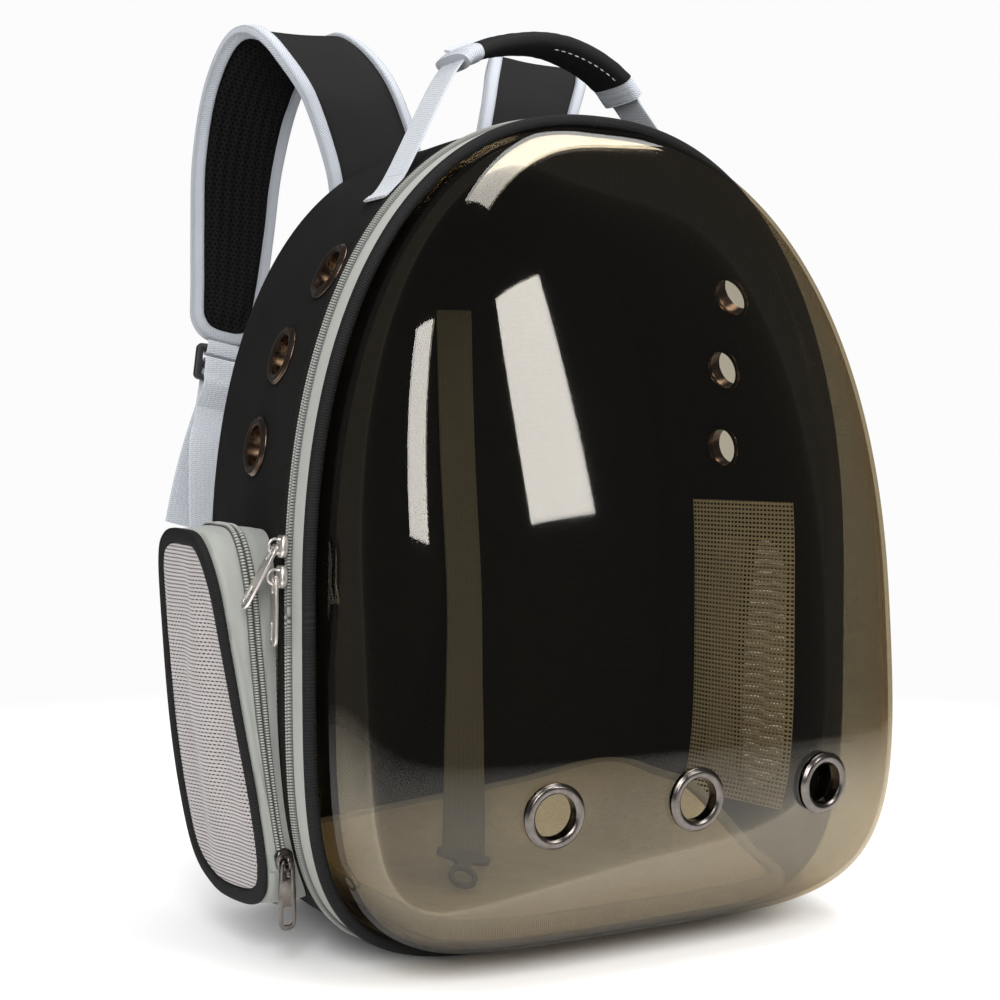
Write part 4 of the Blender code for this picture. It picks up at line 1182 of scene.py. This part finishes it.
for name, across, along, place, chart, dressing in (
    (
        "pocket_band_L",
        *(40, 300, pocket_wall_place, pocket_wall_chart),
        (pocket_cloth, "pocket_fabric", "pocket_wall"),
    ),
    (
        "pocket_edge_L",
        *(20, 300, pocket_binding_place, pocket_binding_chart),
        (black_binding, "black_binding", "pocket_binding"),
    ),
    (
        "pocket_net_L",
        *(200, 61, pocket_face_place, pocket_face_chart),
        (pocket_net, "net", "pocket_face"),
    ),
):
    dress_pair(wrap(name, across, along, place, chart, closed=True), *dressing, angle=60)
coil = coil_ring("pocket_zip_L", int(POCKET_ROUND / TOOTH), pocket_coil)
dress_pair(coil, coil_plastic, "grey_coil", "pocket_coil", angle=75)

# %% [markdown]
# ## Shoulder straps
# A strap is padded cloth, twill outside and spacer mesh inside, with its edges bound in pale
# tape that goes round the lower end. The padding is swelled by simulation on its own even
# grid, because a remesh would leave steps along its thin edge. The tape follows the strap's
# edge line. Below hang a ladder lock and the webbing that adjusts it.

# %% Strap sizes
STRAP_PATH = (
    *((-0.044, 0.1597, 0.345), (-0.044, 0.1597, 0.385), (-0.048, 0.1605, 0.415)),
    *((-0.061, 0.168, 0.456), (-0.078, 0.186, 0.482), (-0.087, 0.208, 0.483)),
    *((-0.093, 0.229, 0.459), (-0.097, 0.242, 0.420), (-0.099, 0.246, 0.380)),
    *((-0.103, 0.243, 0.345), (-0.109, 0.236, 0.318)),
)
STRAP_HALF, STRAP_THICK, STRAP_BINDING = (0.031, 0.0205), 0.009, 0.007
WEB, WEB_HALF = 0.0015, 0.0105
WEB_PATH = (
    *((-0.1270, 0.1561, 0.036), (-0.1285, 0.1564, 0.062), (-0.1330, 0.1605, 0.088)),
    *((-0.1375, 0.172, 0.130), (-0.1375, 0.190, 0.185), (-0.1300, 0.212, 0.245)),
)
TAIL_END = (-0.1400, 0.224, 0.206)
ACROSS = Vector((1, 0, 0))


def placed(points):
    return [Vector((x, at(depth), z)) for x, depth, z in points]


strap_route = Route(smooth(placed(STRAP_PATH), 16), ACROSS)
index_share = np.linspace(0, 1, len(strap_route.spots))
narrowing = np.maximum(0.0, (index_share - 0.5) * 2) ** 1.5
strap_halves = STRAP_HALF[0] + (STRAP_HALF[1] - STRAP_HALF[0]) * narrowing
STRAP_END = strap_route.length + STRAP_BINDING


def strap_half(length):
    """Half width of the bound strap; it rounds off at the lower end."""
    half = float(np.interp(length, strap_route.lengths, strap_halves))
    left = min(1.0, max(0.0, (STRAP_END - length) / 0.018))
    return half * (1 - (1 - left) ** 2.6) ** (1 / 2.6)


# %% Strap padding
def pad_place(u, v):
    length = STRAP_BINDING * 0.5 + (STRAP_END - STRAP_BINDING * 1.1) * v
    spot, wide, out, _ = strap_route.at(length)
    half = max(strap_half(length) - STRAP_BINDING * 0.55, 0.001)
    x, z = rounded(u, half, STRAP_THICK * 0.33, 2.6)
    return spot + wide * x + out * z


def nearest(spot, stride):
    """The number of the strap's station nearest to a point, of every stride-th one."""
    stations = range(0, len(strap_route.spots), stride)
    return min(stations, key=lambda i: (strap_route.spots[i] - spot).length_squared)


def strap_chart(spot):
    """Across and along the strap for a point near it."""
    best = nearest(spot, 2)
    wide, _, along = strap_route.frames[best]
    away = spot - strap_route.spots[best]
    return away.dot(wide), strap_route.lengths[best] + away.dot(along)


pad = wrap("strap_padding_L", 40, 120, pad_place, lambda u, v: (u, v), closed=True, capped=True)
swell(pad, None, 0.0012)
write_chart(pad.data, [strap_chart(v.co) for v in pad.data.vertices])
right_pad = dress_pair(pad, strap_twill, "padded_mesh", "strap_pad")
for side in (pad, right_pad):
    side.data.materials.append(black_mesh)
for face, other in zip(pad.data.polygons, right_pad.data.polygons):
    outwards = strap_route.frames[nearest(face.center, 3)][1]
    if face.normal.dot(outwards) > 0.15:
        face.material_index = other.material_index = 1

# %% [markdown]
# ## Strap binding
# The pale tape is one strip that goes down one edge of the strap, round its end and up the
# other. Its centre line is the strap's outline moved in by half the tape's width.


# %% Strap binding
def even(points, count):
    """Points spread evenly over a line of points."""
    line = np.array(points)
    steps = np.concatenate([[0], np.cumsum(np.linalg.norm(np.diff(line, axis=0), axis=1))])
    wanted = np.linspace(0, steps[-1], count)
    return np.stack([np.interp(wanted, steps, line[:, k]) for k in range(line.shape[1])], 1)


EDGE_ROWS = 519
down = [STRAP_END * (1 - (1 - i / 300) ** 2) for i in range(301)]
edge_line = [(-strap_half(s), s) for s in down] + [(strap_half(s), s) for s in down[-2::-1]]
edge_line = even(edge_line, EDGE_ROWS + 1)
edge_ahead = np.gradient(edge_line, axis=0)
edge_ahead /= np.linalg.norm(edge_ahead, axis=1, keepdims=True)
EDGE_ROUND = float(np.linalg.norm(np.diff(edge_line, axis=0), axis=1).sum())


def binding_place(u, v):
    i = round(v * EDGE_ROWS)
    (x, length), (dx, dl) = edge_line[i], edge_ahead[i]
    inward = Vector((dl, -dx)) * (-1 if dl * x > dx * 1e-9 else 1)
    if abs(x) < 0.012 and length > STRAP_END - 0.012:
        inward = Vector((-x * 0.4, -0.012)).normalized()
    a, z = rounded(u, STRAP_BINDING / 2, STRAP_THICK / 2, 5.0)
    z *= 0.80 - 0.24 * (a / STRAP_BINDING * 2)
    move = STRAP_BINDING / 2 - a
    spot, wide, out, along = strap_route.at(length + inward.y * move)
    return spot + wide * (x + inward.x * move) + out * z


def binding_chart(u, v):
    return u * 0.022, v * EDGE_ROUND


binding = wrap(
    "strap_edge_L", 22, EDGE_ROWS, binding_place, binding_chart, closed=True, capped=True
)
dress_pair(binding, pale_binding, "pale_binding", "strap_binding")

# %% [markdown]
# ## Plates
# Ladder locks, pulls, sliders and the hook are flat castings. Each starts as a circle whose
# points are moved to its outline, is extruded, cut by smaller plates, and has its edges
# rounded by a bevel.


# %% Plates
def plate(name, shape, low, high, holes=(), bevel=0.0):
    """A flat plate with an outline, from low to high, with holes and rounded edges."""
    deselect()
    bpy.ops.mesh.primitive_circle_add(vertices=len(shape), radius=1, fill_type="NGON")
    piece = bpy.context.object
    piece.name = piece.data.name = name
    for vertex, (x, y) in zip(piece.data.vertices, shape):
        vertex.co = (x, y, low)
    move = {"value": (0, 0, high - low)}
    edit(
        piece,
        ("extrude_region_move", {"TRANSFORM_OT_translate": move}),
        ("normals_make_consistent", {"inside": False}),
    )
    for number, hole in enumerate(holes):
        cutter = plate(f"{name}_cut{number}", hole, low - 0.01, high + 0.01)
        cut(piece, cutter)
    if bevel:
        limit = {"limit_method": "ANGLE", "angle_limit": math.radians(40)}
        modify(piece, "BEVEL", width=bevel, segments=3, **limit)
    return piece


def box_shape(left, right, low, high, corner):
    """A rectangle with rounded corners."""
    shape = []
    for number, (x, y) in enumerate(((right, high), (left, high), (left, low), (right, low))):
        cx, cy = x - math.copysign(corner, x), y - math.copysign(corner, y - (low + high) / 2)
        for k in range(5):
            angle = math.pi / 2 * (number + k / 4)
            shape.append((cx + corner * math.cos(angle), cy + corner * math.sin(angle)))
    return shape


def joined(first, *others):
    """Joins pieces into the first one."""
    deselect()
    for other in others:
        other.select_set(True)
    first.select_set(True)
    bpy.context.view_layer.objects.active = first
    bpy.ops.object.join()
    return first


# %% [markdown]
# ## Ladder locks and webbing
# The strap ends in a webbing tab round the lock's first bar. The long webbing rises from
# the foot of the bag, turns over the middle bar and hangs down again as a loose tail.

# %% Ladder locks and webbing
LOCK_LENGTH, LOCK_HALF, LOCK_THICK = 0.022, 0.0155, 0.0036
end_spot, wide, out, along = strap_route.at(strap_route.length)
lock = frame_of(end_spot + along * (STRAP_BINDING + 0.0045), wide, along, out)
shape = box_shape(-LOCK_HALF, LOCK_HALF, -0.002, LOCK_LENGTH - 0.002, 0.003)
slot_half = WEB_HALF + 0.001
spans = (0.0018, 0.0088), (0.0118, 0.0170)
slots = [box_shape(-slot_half, slot_half, *span, 0.0008) for span in spans]
body = plate("ladder_lock_L", shape, -LOCK_THICK / 2, LOCK_THICK / 2, slots, 0.0007)
body.data.transform(lock)
dress_pair(body, black_plastic, "black_plastic", "strap_lock")

over = LOCK_THICK / 2 + GAP + WEB / 2
side_a = [(-0.0040, over + 0.0004), (0.0018, over + GAP), (0.0034, 0.0020)]
loop = side_a + [(0.0038, 0.0)] + [(y, -z) for y, z in side_a[::-1]]
route = Route(smooth([lock @ Vector((0, y, z)) for y, z in loop], 8), wide)
tab = ribbon("strap_tab_L", route, WEB_HALF - 0.0004, WEB)
dress_pair(tab, pale_webbing, "pale_webbing", "strap_loop")

turn_back = [(0.0065, 0.0012), (0.0081, over + GAP), (0.0110, over + GAP * 2)]
turn_back += [(0.0180, over + GAP * 2), (0.0240, over + GAP * 4)]
under = [(y, -z) for y, z in turn_back[::-1]]
line = placed(WEB_PATH)
line += [(line[-1] + (lock @ Vector((0, *under[0])))) / 2]
line += [lock @ Vector((0, y, z)) for y, z in under + turn_back]
start, end = line[-1], placed([TAIL_END])[0]
bow = Vector((0, 0.006, 0))
line += [start + (end - start) * s + bow * math.sin(math.pi * s) for s in (0.25, 0.5, 0.75, 1.0)]
route = Route(smooth(line, 7), wide)
web = ribbon("strap_webbing_L", route, WEB_HALF, WEB)
dress_pair(web, pale_webbing, "pale_webbing", "strap_web")

# %% [markdown]
# ## Top handle
# One length of pale webbing is sewn down on both shoulders and rises between them. A black
# padded sleeve with a white stitch line wraps its middle, closed by two pale bound ends.

# %% Top handle
HANDLE_HALF, HANDLE_DEPTH = 0.012, 0.048
HANDLE_PATH = (
    *((-0.0640, 0.442), (-0.0480, 0.4545), (-0.0280, 0.4610), (-0.0040, 0.4635)),
    *((0.0180, 0.4590), (0.0360, 0.4500), (0.0480, 0.4380)),
)
HANDLE_FOOT = (0.576, 0.7275)
GRIP_LENGTH, GRIP_HALF, GRIP_THICK, GRIP_END = 0.094, 0.0165, 0.0095, 0.011
FOOT_TRIM, SEAM_INSETS = 0.022, (0.003, 0.017)


def foot_point(share, right):
    """A point of the handle's webbing where it lies on the body."""
    turn = last_turn(0.0, math.pi / 2, lambda t: outline(t)[0] > share * HALF)
    return on_wall(turn if right else math.pi - turn, HANDLE_DEPTH, WEB / 2 + GAP * 3)[0]


shares = (HANDLE_FOOT[1], sum(HANDLE_FOOT) / 2, HANDLE_FOOT[0])
feet = [[foot_point(share, right) for share in shares] for right in (False, True)]
middle = [Vector((x, at(HANDLE_DEPTH), z)) for x, z in HANDLE_PATH]
handle = Route(smooth(feet[0] + middle + feet[1][::-1], 12), Vector((0, 1, 0)))
web = ribbon("handle_webbing", handle, HANDLE_HALF, WEB, FOOT_TRIM, handle.length - FOOT_TRIM)
dress(web, pale_webbing, "pale_webbing", "handle_web")


def sleeve(name, start, end, half, thick, crown):
    """A padded tube round the handle's webbing, fuller in its middle."""
    def place(u, v):
        spot, wide, out, _ = handle.at(start + (end - start) * v)
        full = 1 + crown * math.sin(math.pi * v)
        x, z = rounded(u, half, thick / 2 * full, 2.7)
        crease = 0.0003 * fine_noise((x * 4, v * 7, z * 4), 0.3, 3.0)
        return spot + wide * x + out * (z + crease)

    def chart(u, v):
        return rounded(u, half, thick / 2, 2.7)[0], start + (end - start) * v

    return wrap(name, 48, 60, place, chart, closed=True, capped=True)


centre = handle.length / 2
first, last = centre - GRIP_LENGTH / 2, centre + GRIP_LENGTH / 2
grip = sleeve("handle_sleeve", first, last, GRIP_HALF, GRIP_THICK, 0.05)
dress(grip, strap_twill, "padded_mesh", "handle_grip")
for tag, start in (("L", first - GAP - GRIP_END), ("R", last + GAP)):
    end = start + GRIP_END
    band = sleeve(f"handle_band_{tag}", start, end, GRIP_HALF * 0.96, GRIP_THICK + 0.0006, 0.0)
    dress(band, pale_binding, "pale_binding", f"handle_end_{tag}")


# %% Handle strip and stitches
def on_sleeve(length, across, lift=0.0003, under=False):
    """A point on the top of the sleeve, or under it, and its directions."""
    spot, wide, out, along = handle.at(length)
    out = -out if under else out
    x = GRIP_HALF * across
    full = 1 + 0.05 * math.sin(math.pi * min(1.0, max(0.0, (length - first) / GRIP_LENGTH)))
    rise = GRIP_THICK / 2 * full * (1 - abs(across) ** 2.7) ** (1 / 2.7)
    return spot + wide * x + out * (rise + lift), wide, out, along


strip_line = [on_sleeve(first - 0.006 + 0.0545 * k / 20, 0.42 - 0.5 * k / 20)[0] for k in range(21)]
strip = ribbon("handle_strip", Route(strip_line, Vector((0, 1, 0.25))), 0.0052, 0.0016, rows=40)
dress(strip, pale_webbing, "pale_webbing")


def stitches(name, spots, length=0.0028, thick=0.0004):
    """A row of thread stitches; each is a stretched ball laid along its seam."""
    deselect()
    bpy.ops.mesh.primitive_uv_sphere_add(segments=8, ring_count=5, radius=1)
    ball = bpy.context.object
    ball.data.transform(Matrix.Diagonal((thick, length / 2, thick * 0.7, 1)))
    pieces = []
    for spot, wide, out, along in spots:
        pieces.append(copied(ball, name, frame_of(spot, wide, along, out)))
    bpy.data.objects.remove(ball)
    row = joined(*pieces)
    row.name = row.data.name = name
    dress(row, thread, "pale_webbing")


thread = cloth("thread", (0.75, 0.75, 0.75), ribs(0.0006), relief=0.0001)
spots = [on_sleeve(centre + 0.001 + 0.0045 * k, -0.70, 0.0002, True) for k in range(10)]
stitches("handle_stitches", spots)
seams = []
for into in SEAM_INSETS:
    for side in (False, True):
        for k in range(7):
            length = handle.length - FOOT_TRIM - into if side else FOOT_TRIM + into
            spot, wide, out, along = handle.at(length)
            x = HANDLE_HALF * (-0.8 + 1.6 * k / 6)
            seams.append((spot + wide * x + out * WEB / 2, along, out, wide))
stitches("foot_stitches", seams, 0.0026, 0.00035)

# %% [markdown]
# ## Floor board, mat and leash
# A padded board covers the floor. On it lies a fleece mat with a bound edge; it is a little
# large, so it turns up at the rear and on the right. A short leash with a snap hook comes
# down from the back, to clip to a harness.

# %% Floor board and mat
BOARD, BOARD_DEPTHS, BOARD_CORNER = 0.0125, (0.012, 0.144), 0.010
MAT, MAT_EDGE, MAT_MARGIN, CORNER_CLEAR = 0.009, 0.008, 0.004, 0.0022
REAR_CLIMB, REAR_SLOPE, SIDE_CLIMB = 0.026, 0.08, 0.034
RING = 240  # points round the mat and the board


def floor_half(z, depth):
    """Half width inside the wall at a low height and a depth."""
    inset = -WALL - CORNER_CLEAR
    turn = last_turn(-math.pi / 2, 0.0, lambda t: on_wall(t, depth, inset)[0].z < z)
    return on_wall(turn, depth, inset)[0].x


def mat_outline(z, shrink):
    """The mat's plan: straight at the rear, following the dome at the front."""
    rear = BODY_DEPTH - BACK_THICK - 0.003 - shrink
    half = floor_half(z, rear) - 0.002 - shrink
    corner = 0.022 - min(shrink, 0.012)
    ring = []
    for sign in (1, -1):
        for k in range(9):
            angle = math.pi / 2 * (k / 8 + (sign < 0))
            x = sign * (half - corner) + corner * math.cos(angle)
            ring.append((x, at(rear - corner) + corner * math.sin(angle)))
    wide = half_at(z, DOME_INSET + DOME_WALL) - 0.004 - shrink
    deep = dome_depth(0, z, DOME_INSET + DOME_WALL, DOME_DEPTH - DOME_WALL) - MAT_MARGIN - shrink
    for k in range(72):
        angle = math.pi * (k + 0.5) / 72
        x = -wide * math.copysign(abs(math.cos(angle)) ** 0.45, math.cos(angle))
        ring.append((x, at(0.012) - (deep + 0.012) * abs(math.sin(angle)) ** 0.62))
    return even(ring + ring[:1], RING + 1)


def eased(value, low, high):
    """0 below low, 1 above high, and a smooth rise between."""
    share = min(1.0, max(0.0, (value - low) / (high - low)))
    return share * share * (3 - 2 * share)


def turned_up(x, y):
    """How far the mat climbs the back panel and the right wall."""
    rear = (REAR_CLIMB + REAR_SLOPE * x) * eased(y, at(0.092), at(0.138))
    right = SIDE_CLIMB * eased(x, 0.035, 0.110) * eased(y, at(-0.015), at(0.080))
    return rear + right * (1 - rear / 0.036)


def slab(name, ring, low, high, side, relief=0.0):
    """A soft board over a plan, with rounded sides."""
    middle = ring.mean(axis=0)
    thick = high - low

    def place(u, v):
        x, y = ring[round(u * RING) % RING]
        t = 2 * v - 1
        if abs(t) < 0.25:
            angle = t / 0.25 * math.pi / 2
            share = 1 - side * (1 - math.cos(angle))
            z = (low + high) / 2 + thick / 2 * math.sin(angle)
        else:
            share = (1 - side) * (1 - abs(t)) / 0.75
            z = high if t > 0 else low
        x, y = middle[0] + (x - middle[0]) * share, middle[1] + (y - middle[1]) * share
        if t > 0:
            z -= relief * 0.5 * (1 + fine_noise((x, y, 0), 0.02)) * (share < 0.99)
        z += turned_up(x, y) * (relief > 0)
        return x, y, z

    def chart(u, v):
        return place(u, v)[:2]

    return wrap(name, RING, 90, place, chart, closed=True)


low = WALL + GAP * 2
front, rear = BOARD_DEPTHS
plan = []
for number, (sign, depth) in enumerate(((1, rear), (-1, rear), (-1, front), (1, front))):
    half = floor_half(low + BOARD * 0.4, depth) - 0.001
    into = 1 if number > 1 else -1
    for k in range(9):
        angle = math.pi / 2 * (number + k / 8)
        x = sign * (half - BOARD_CORNER) + BOARD_CORNER * math.cos(angle)
        plan.append((x, at(depth + into * BOARD_CORNER) + BOARD_CORNER * math.sin(angle)))
board = slab("floor_pad", even(plan + plan[:1], RING + 1), low, low + BOARD, 0.07)
dress(board, black_twill, "black_fabric", "floor_board")

base = low + BOARD + GAP
fleece_mat = slab("fleece_mat", mat_outline(base, MAT_EDGE + GAP), base, base + MAT, 0.02, 0.0016)
dress(fleece_mat, mat_fleece, "beige_fleece", "mat")
mat_ring = mat_outline(base, MAT_EDGE / 2)
mat_ahead = np.roll(mat_ring[:RING], -1, axis=0) - np.roll(mat_ring[:RING], 1, axis=0)
mat_ahead /= np.linalg.norm(mat_ahead, axis=1, keepdims=True)


def mat_edge_place(u, v):
    i = round(v * RING) % RING
    a, z = rounded(u, MAT_EDGE / 2, (MAT + 0.0008) / 2, 2.4)
    x, y = mat_ring[i] + a * np.array((mat_ahead[i][1], -mat_ahead[i][0]))
    return x, y, base + (MAT + 0.0008) / 2 + z + turned_up(x, y)


def mat_edge_chart(u, v):
    return u * 0.022, v * 0.9


mat_tape = wrap("mat_tape", 20, RING, mat_edge_place, mat_edge_chart, closed=True)
dress(mat_tape, mat_binding, "mat_binding", "mat_edge")

# %% Leash and snap hook
LEASH_HALF, HOOK_LENGTH = 0.0115, 0.028
LEASH_PATH = (
    *((-0.004, 0.1459, 0.330), (-0.002, 0.1454, 0.250), (0.001, 0.1430, 0.170)),
    *((-0.009, 0.1250, 0.115), (-0.028, 0.0920, 0.080), (-0.0461, 0.0600, 0.0575)),
    (-0.0590, 0.0381, 0.0430),
)
leash = Route(smooth(placed(LEASH_PATH), 14), ACROSS)
web = ribbon("leash_webbing", leash, LEASH_HALF, WEB)
dress(web, leash_cloth, "pale_webbing", "leash_web")
spot, wide, out, along = leash.at(leash.length)
hook_frame = frame_of(spot + along * 0.0008, wide, along, out)
bar, thick = LEASH_HALF + 0.0025, 0.0018
shape = [(-bar, 0.0004), (-bar + 0.001, 0.0), (bar - 0.001, 0.0), (bar, 0.0004)]
shape += [(bar, 0.0040), (bar - 0.003, 0.0052), (0.0052, 0.0062), (0.0040, 0.0090)]
ring_centre, ring_out, ring_in = HOOK_LENGTH * 0.62, HOOK_LENGTH * 0.27, HOOK_LENGTH * 0.19
for k in range(25):
    angle = math.radians(-68 + 316 * k / 24)
    shape.append((ring_out * math.cos(angle), ring_centre + ring_out * math.sin(angle)))
shape += [(-0.0040, 0.0090), (-0.0052, 0.0062), (-bar + 0.003, 0.0052), (-bar, 0.0040)]
hole = [
    (ring_in * math.cos(math.tau * k / 28), ring_centre + ring_in * math.sin(math.tau * k / 28))
    for k in range(28)
]
hook = plate("snap_hook", shape, -thick, thick, [hole], 0.0009)
hook.data.transform(hook_frame)
dress(hook, grey_plastic, "grey_plastic", "leash_hook")

# %% [markdown]
# ## Sliders and pulls
# Each slider is a small casting with a bail over it, and a framed pull hangs in the bail.
# The pulls swing, so each rides on its own body; the sliders ride on the bag.

# %% Sliders and pulls
SLIDER_LENGTH, SLIDER_WIDTH, SLIDER_TALL = 0.011, 0.009, 0.0040
SLIDER_SHAPE = (
    *((-1, -0.6), (-0.6, -1), (0.6, -1), (1, -0.6)),
    *((1, 0.5), (0.4, 1), (-0.4, 1), (-1, 0.5)),
)
BAIL_CENTRE, BAIL_INNER, BAIL_OUTER, BAIL_THICK = 0.0056, 0.0030, 0.0042, 0.0018
PULL_LENGTH, PULL_WIDTH, PULL_THICK = 0.034, 0.0088, 0.0015


def set_slider(name, frame, node, finish=nickel):
    shape = [(x * SLIDER_WIDTH / 2, y * SLIDER_LENGTH / 2) for x, y in SLIDER_SHAPE]
    body = plate(name, shape, GAP, SLIDER_TALL, bevel=0.0011)
    middle, radius = (BAIL_INNER + BAIL_OUTER) / 2, (BAIL_OUTER - BAIL_INNER) / 2
    line = []
    for k in range(33):
        angle = math.radians(-30 + 240 * k / 32)
        line.append((0, middle * math.cos(angle), BAIL_CENTRE + middle * math.sin(angle)))
    route = Route([Vector(p) for p in line], ACROSS)
    bail = ribbon(f"{name}_bail", route, BAIL_THICK / 2, radius * 2, rows=32, power=3.0)
    piece = joined(body, bail)
    piece.data.transform(frame)
    dress(piece, finish, "slider_metal", node)


def set_pull(name, frame, node, carrier, out_angle, back_angle, finish=nickel):
    """A framed pull that hangs in the bail, turned out from the tape and back along it."""
    back = Matrix.Rotation(math.radians(back_angle), 4, "Z")
    lean = Matrix.Rotation(math.radians(out_angle), 4, "X")
    turn = frame @ (Matrix.Translation((0, 0, BAIL_CENTRE)) @ back) @ lean
    wide, start = PULL_WIDTH / 2, -0.0008
    end = start + PULL_LENGTH
    half = [(0.0022, start), (wide * 0.70, start + 0.0012), (wide * 0.88, start + 0.0034)]
    half += [(wide * 0.94, 0.0105), (wide, 0.0130), (wide, end - 0.0046)]
    half += [(wide * 0.93, end - 0.0024), (wide * 0.72, end - 0.0008), (wide * 0.34, end)]
    shape = half + [(-x, y) for x, y in half[::-1]]
    eye = box_shape(-BAIL_THICK / 2 - 0.0009, BAIL_THICK / 2 + 0.0009, 0.0008, 0.0080, 0.0009)
    slot = box_shape(-wide * 0.55, wide * 0.55, end - 0.0115, end - 0.0025, 0.0012)
    piece = plate(name, shape, -PULL_THICK / 2, PULL_THICK / 2, (eye, slot), 0.0003)
    piece.data.transform(turn)
    dress(piece, finish, "slider_metal", node, body=carrier)


for tag, z, lean, back in (("upper", 0.2045, 24.0, -9.0), ("lower", 0.1900, 0.0, 0.0)):
    frame_here = side_frame(turn_at_height(z, False), COIL_START + COIL_WIDTH / 2, COIL_RISE)
    set_slider(f"{tag}_zip_slider", frame_here, f"slider_{tag}")
    set_pull(f"{tag}_zip_pull", frame_here, f"pull_{tag}", f"{tag}_pull", lean, back)

POCKET_STATIONS, POCKET_SLIDER = 28, 0.65
ends = []
for k in (POCKET_STATIONS - 1, 0):
    d, h = pocket_edge(k / POCKET_STATIONS, 0.004 + GAP + COIL_RISE)
    ends.append(pocket_point(d, h, POCKET_ZIP_OUT))
along = (ends[1] - ends[0]).normalized()
out = Vector((0, -1, 0))
out = (out - along * out.dot(along)).normalized()
spot = ends[0].lerp(ends[1], POCKET_SLIDER)
for tag, body in (("L", "left_pocket_pull"), ("R", "right_pocket_pull")):
    if tag == "R":
        spot, along, out = (Vector((-p.x, p.y, p.z)) for p in (spot, along, out))
    frame_here = frame_of(spot, along.cross(out), along, out)
    hang = Vector((0, 0, -1))
    tilt = math.degrees(math.atan2(out.dot(hang), along.dot(hang)))
    sway = math.degrees(math.atan2(-along.cross(out).dot(hang), along.dot(hang)))
    set_slider(f"pocket_zip_slider_{tag}", frame_here, f"pocket_slider_{tag}", gunmetal)
    name, node = f"pocket_zip_pull_{tag}", f"pocket_pull_{tag}"
    set_pull(name, frame_here, node, body, tilt, sway, finish=gunmetal)

# %% [markdown]
# ## Floor and light
# The studio is a pale floor that fades into the white round it, one softbox on each side
# of the camera and one above. The boxes stand where the highlights on the dome say.


# %% Floor and light
BOX_AWAY = 1.3
SKY_LIGHT, SKY_MIRRORED = 0.97, 0.12  # the sky is dim where something glossy mirrors it


def softbox(name, aim, direction, wide, tall, power, turn=0.0):
    """A rectangular lamp that faces a point from a direction."""
    lamp = bpy.data.lights.new(name, "AREA")
    lamp.shape, lamp.size, lamp.size_y, lamp.energy = "RECTANGLE", wide, tall, power
    thing = bpy.data.objects.new(name, lamp)
    towards = Vector(direction).normalized()
    thing.location = Vector(aim) + towards * BOX_AWAY
    thing.rotation_euler = towards.to_track_quat("Z", "Y").to_euler()
    thing.rotation_euler.rotate_axis("Z", turn)
    bpy.context.scene.collection.objects.link(thing)


softbox("left_box", (-0.13, -0.13, 0.26), (-0.47, -0.75, 0.46), 0.42, 0.80, 15.0)
softbox("right_box", (-0.07, -0.135, 0.27), (0.42, -0.80, 0.43), 0.26, 0.62, 8.0)
softbox("top_box", (-0.035, -0.09, 0.39), (0.29, -0.14, 0.93), 1.15, 0.56, 17.0, turn=-0.2)

deselect()
bpy.ops.mesh.primitive_plane_add(size=8)
floor = bpy.context.object
floor.name = floor.data.name = "studio_floor"
paper = Finish("studio_paper")
grain = paper.speckle(0.6)
far = paper.node("ShaderNodeVectorMath", {"operation": "LENGTH"}, paper.place(), out=1)
paper.set(
    Base_Color=paper.mix(grain, (0.94, 0.94, 0.94, 1), (0.95, 0.95, 0.95, 1)),
    Roughness=0.9,
    Alpha=(1.55 - far * 1.7).math("MINIMUM", 1.0).math("MAXIMUM", 0.0),
)
floor.data.materials.append(paper.material)

world = bpy.data.worlds.new("studio")
world.use_nodes = True
sky = world.node_tree.nodes["Background"]
sky.inputs["Color"].default_value = (1.0, 1.0, 1.0, 1)
ray = world.node_tree.nodes.new("ShaderNodeLightPath")
dim = world.node_tree.nodes.new("ShaderNodeMapRange")
dim.inputs["To Min"].default_value = SKY_LIGHT
dim.inputs["To Max"].default_value = SKY_MIRRORED
world.node_tree.links.new(ray.outputs["Is Glossy Ray"], dim.inputs["Value"])
world.node_tree.links.new(dim.outputs[0], sky.inputs["Strength"])
bpy.context.scene.world = world
bpy.context.scene.view_settings.view_transform = "Standard"
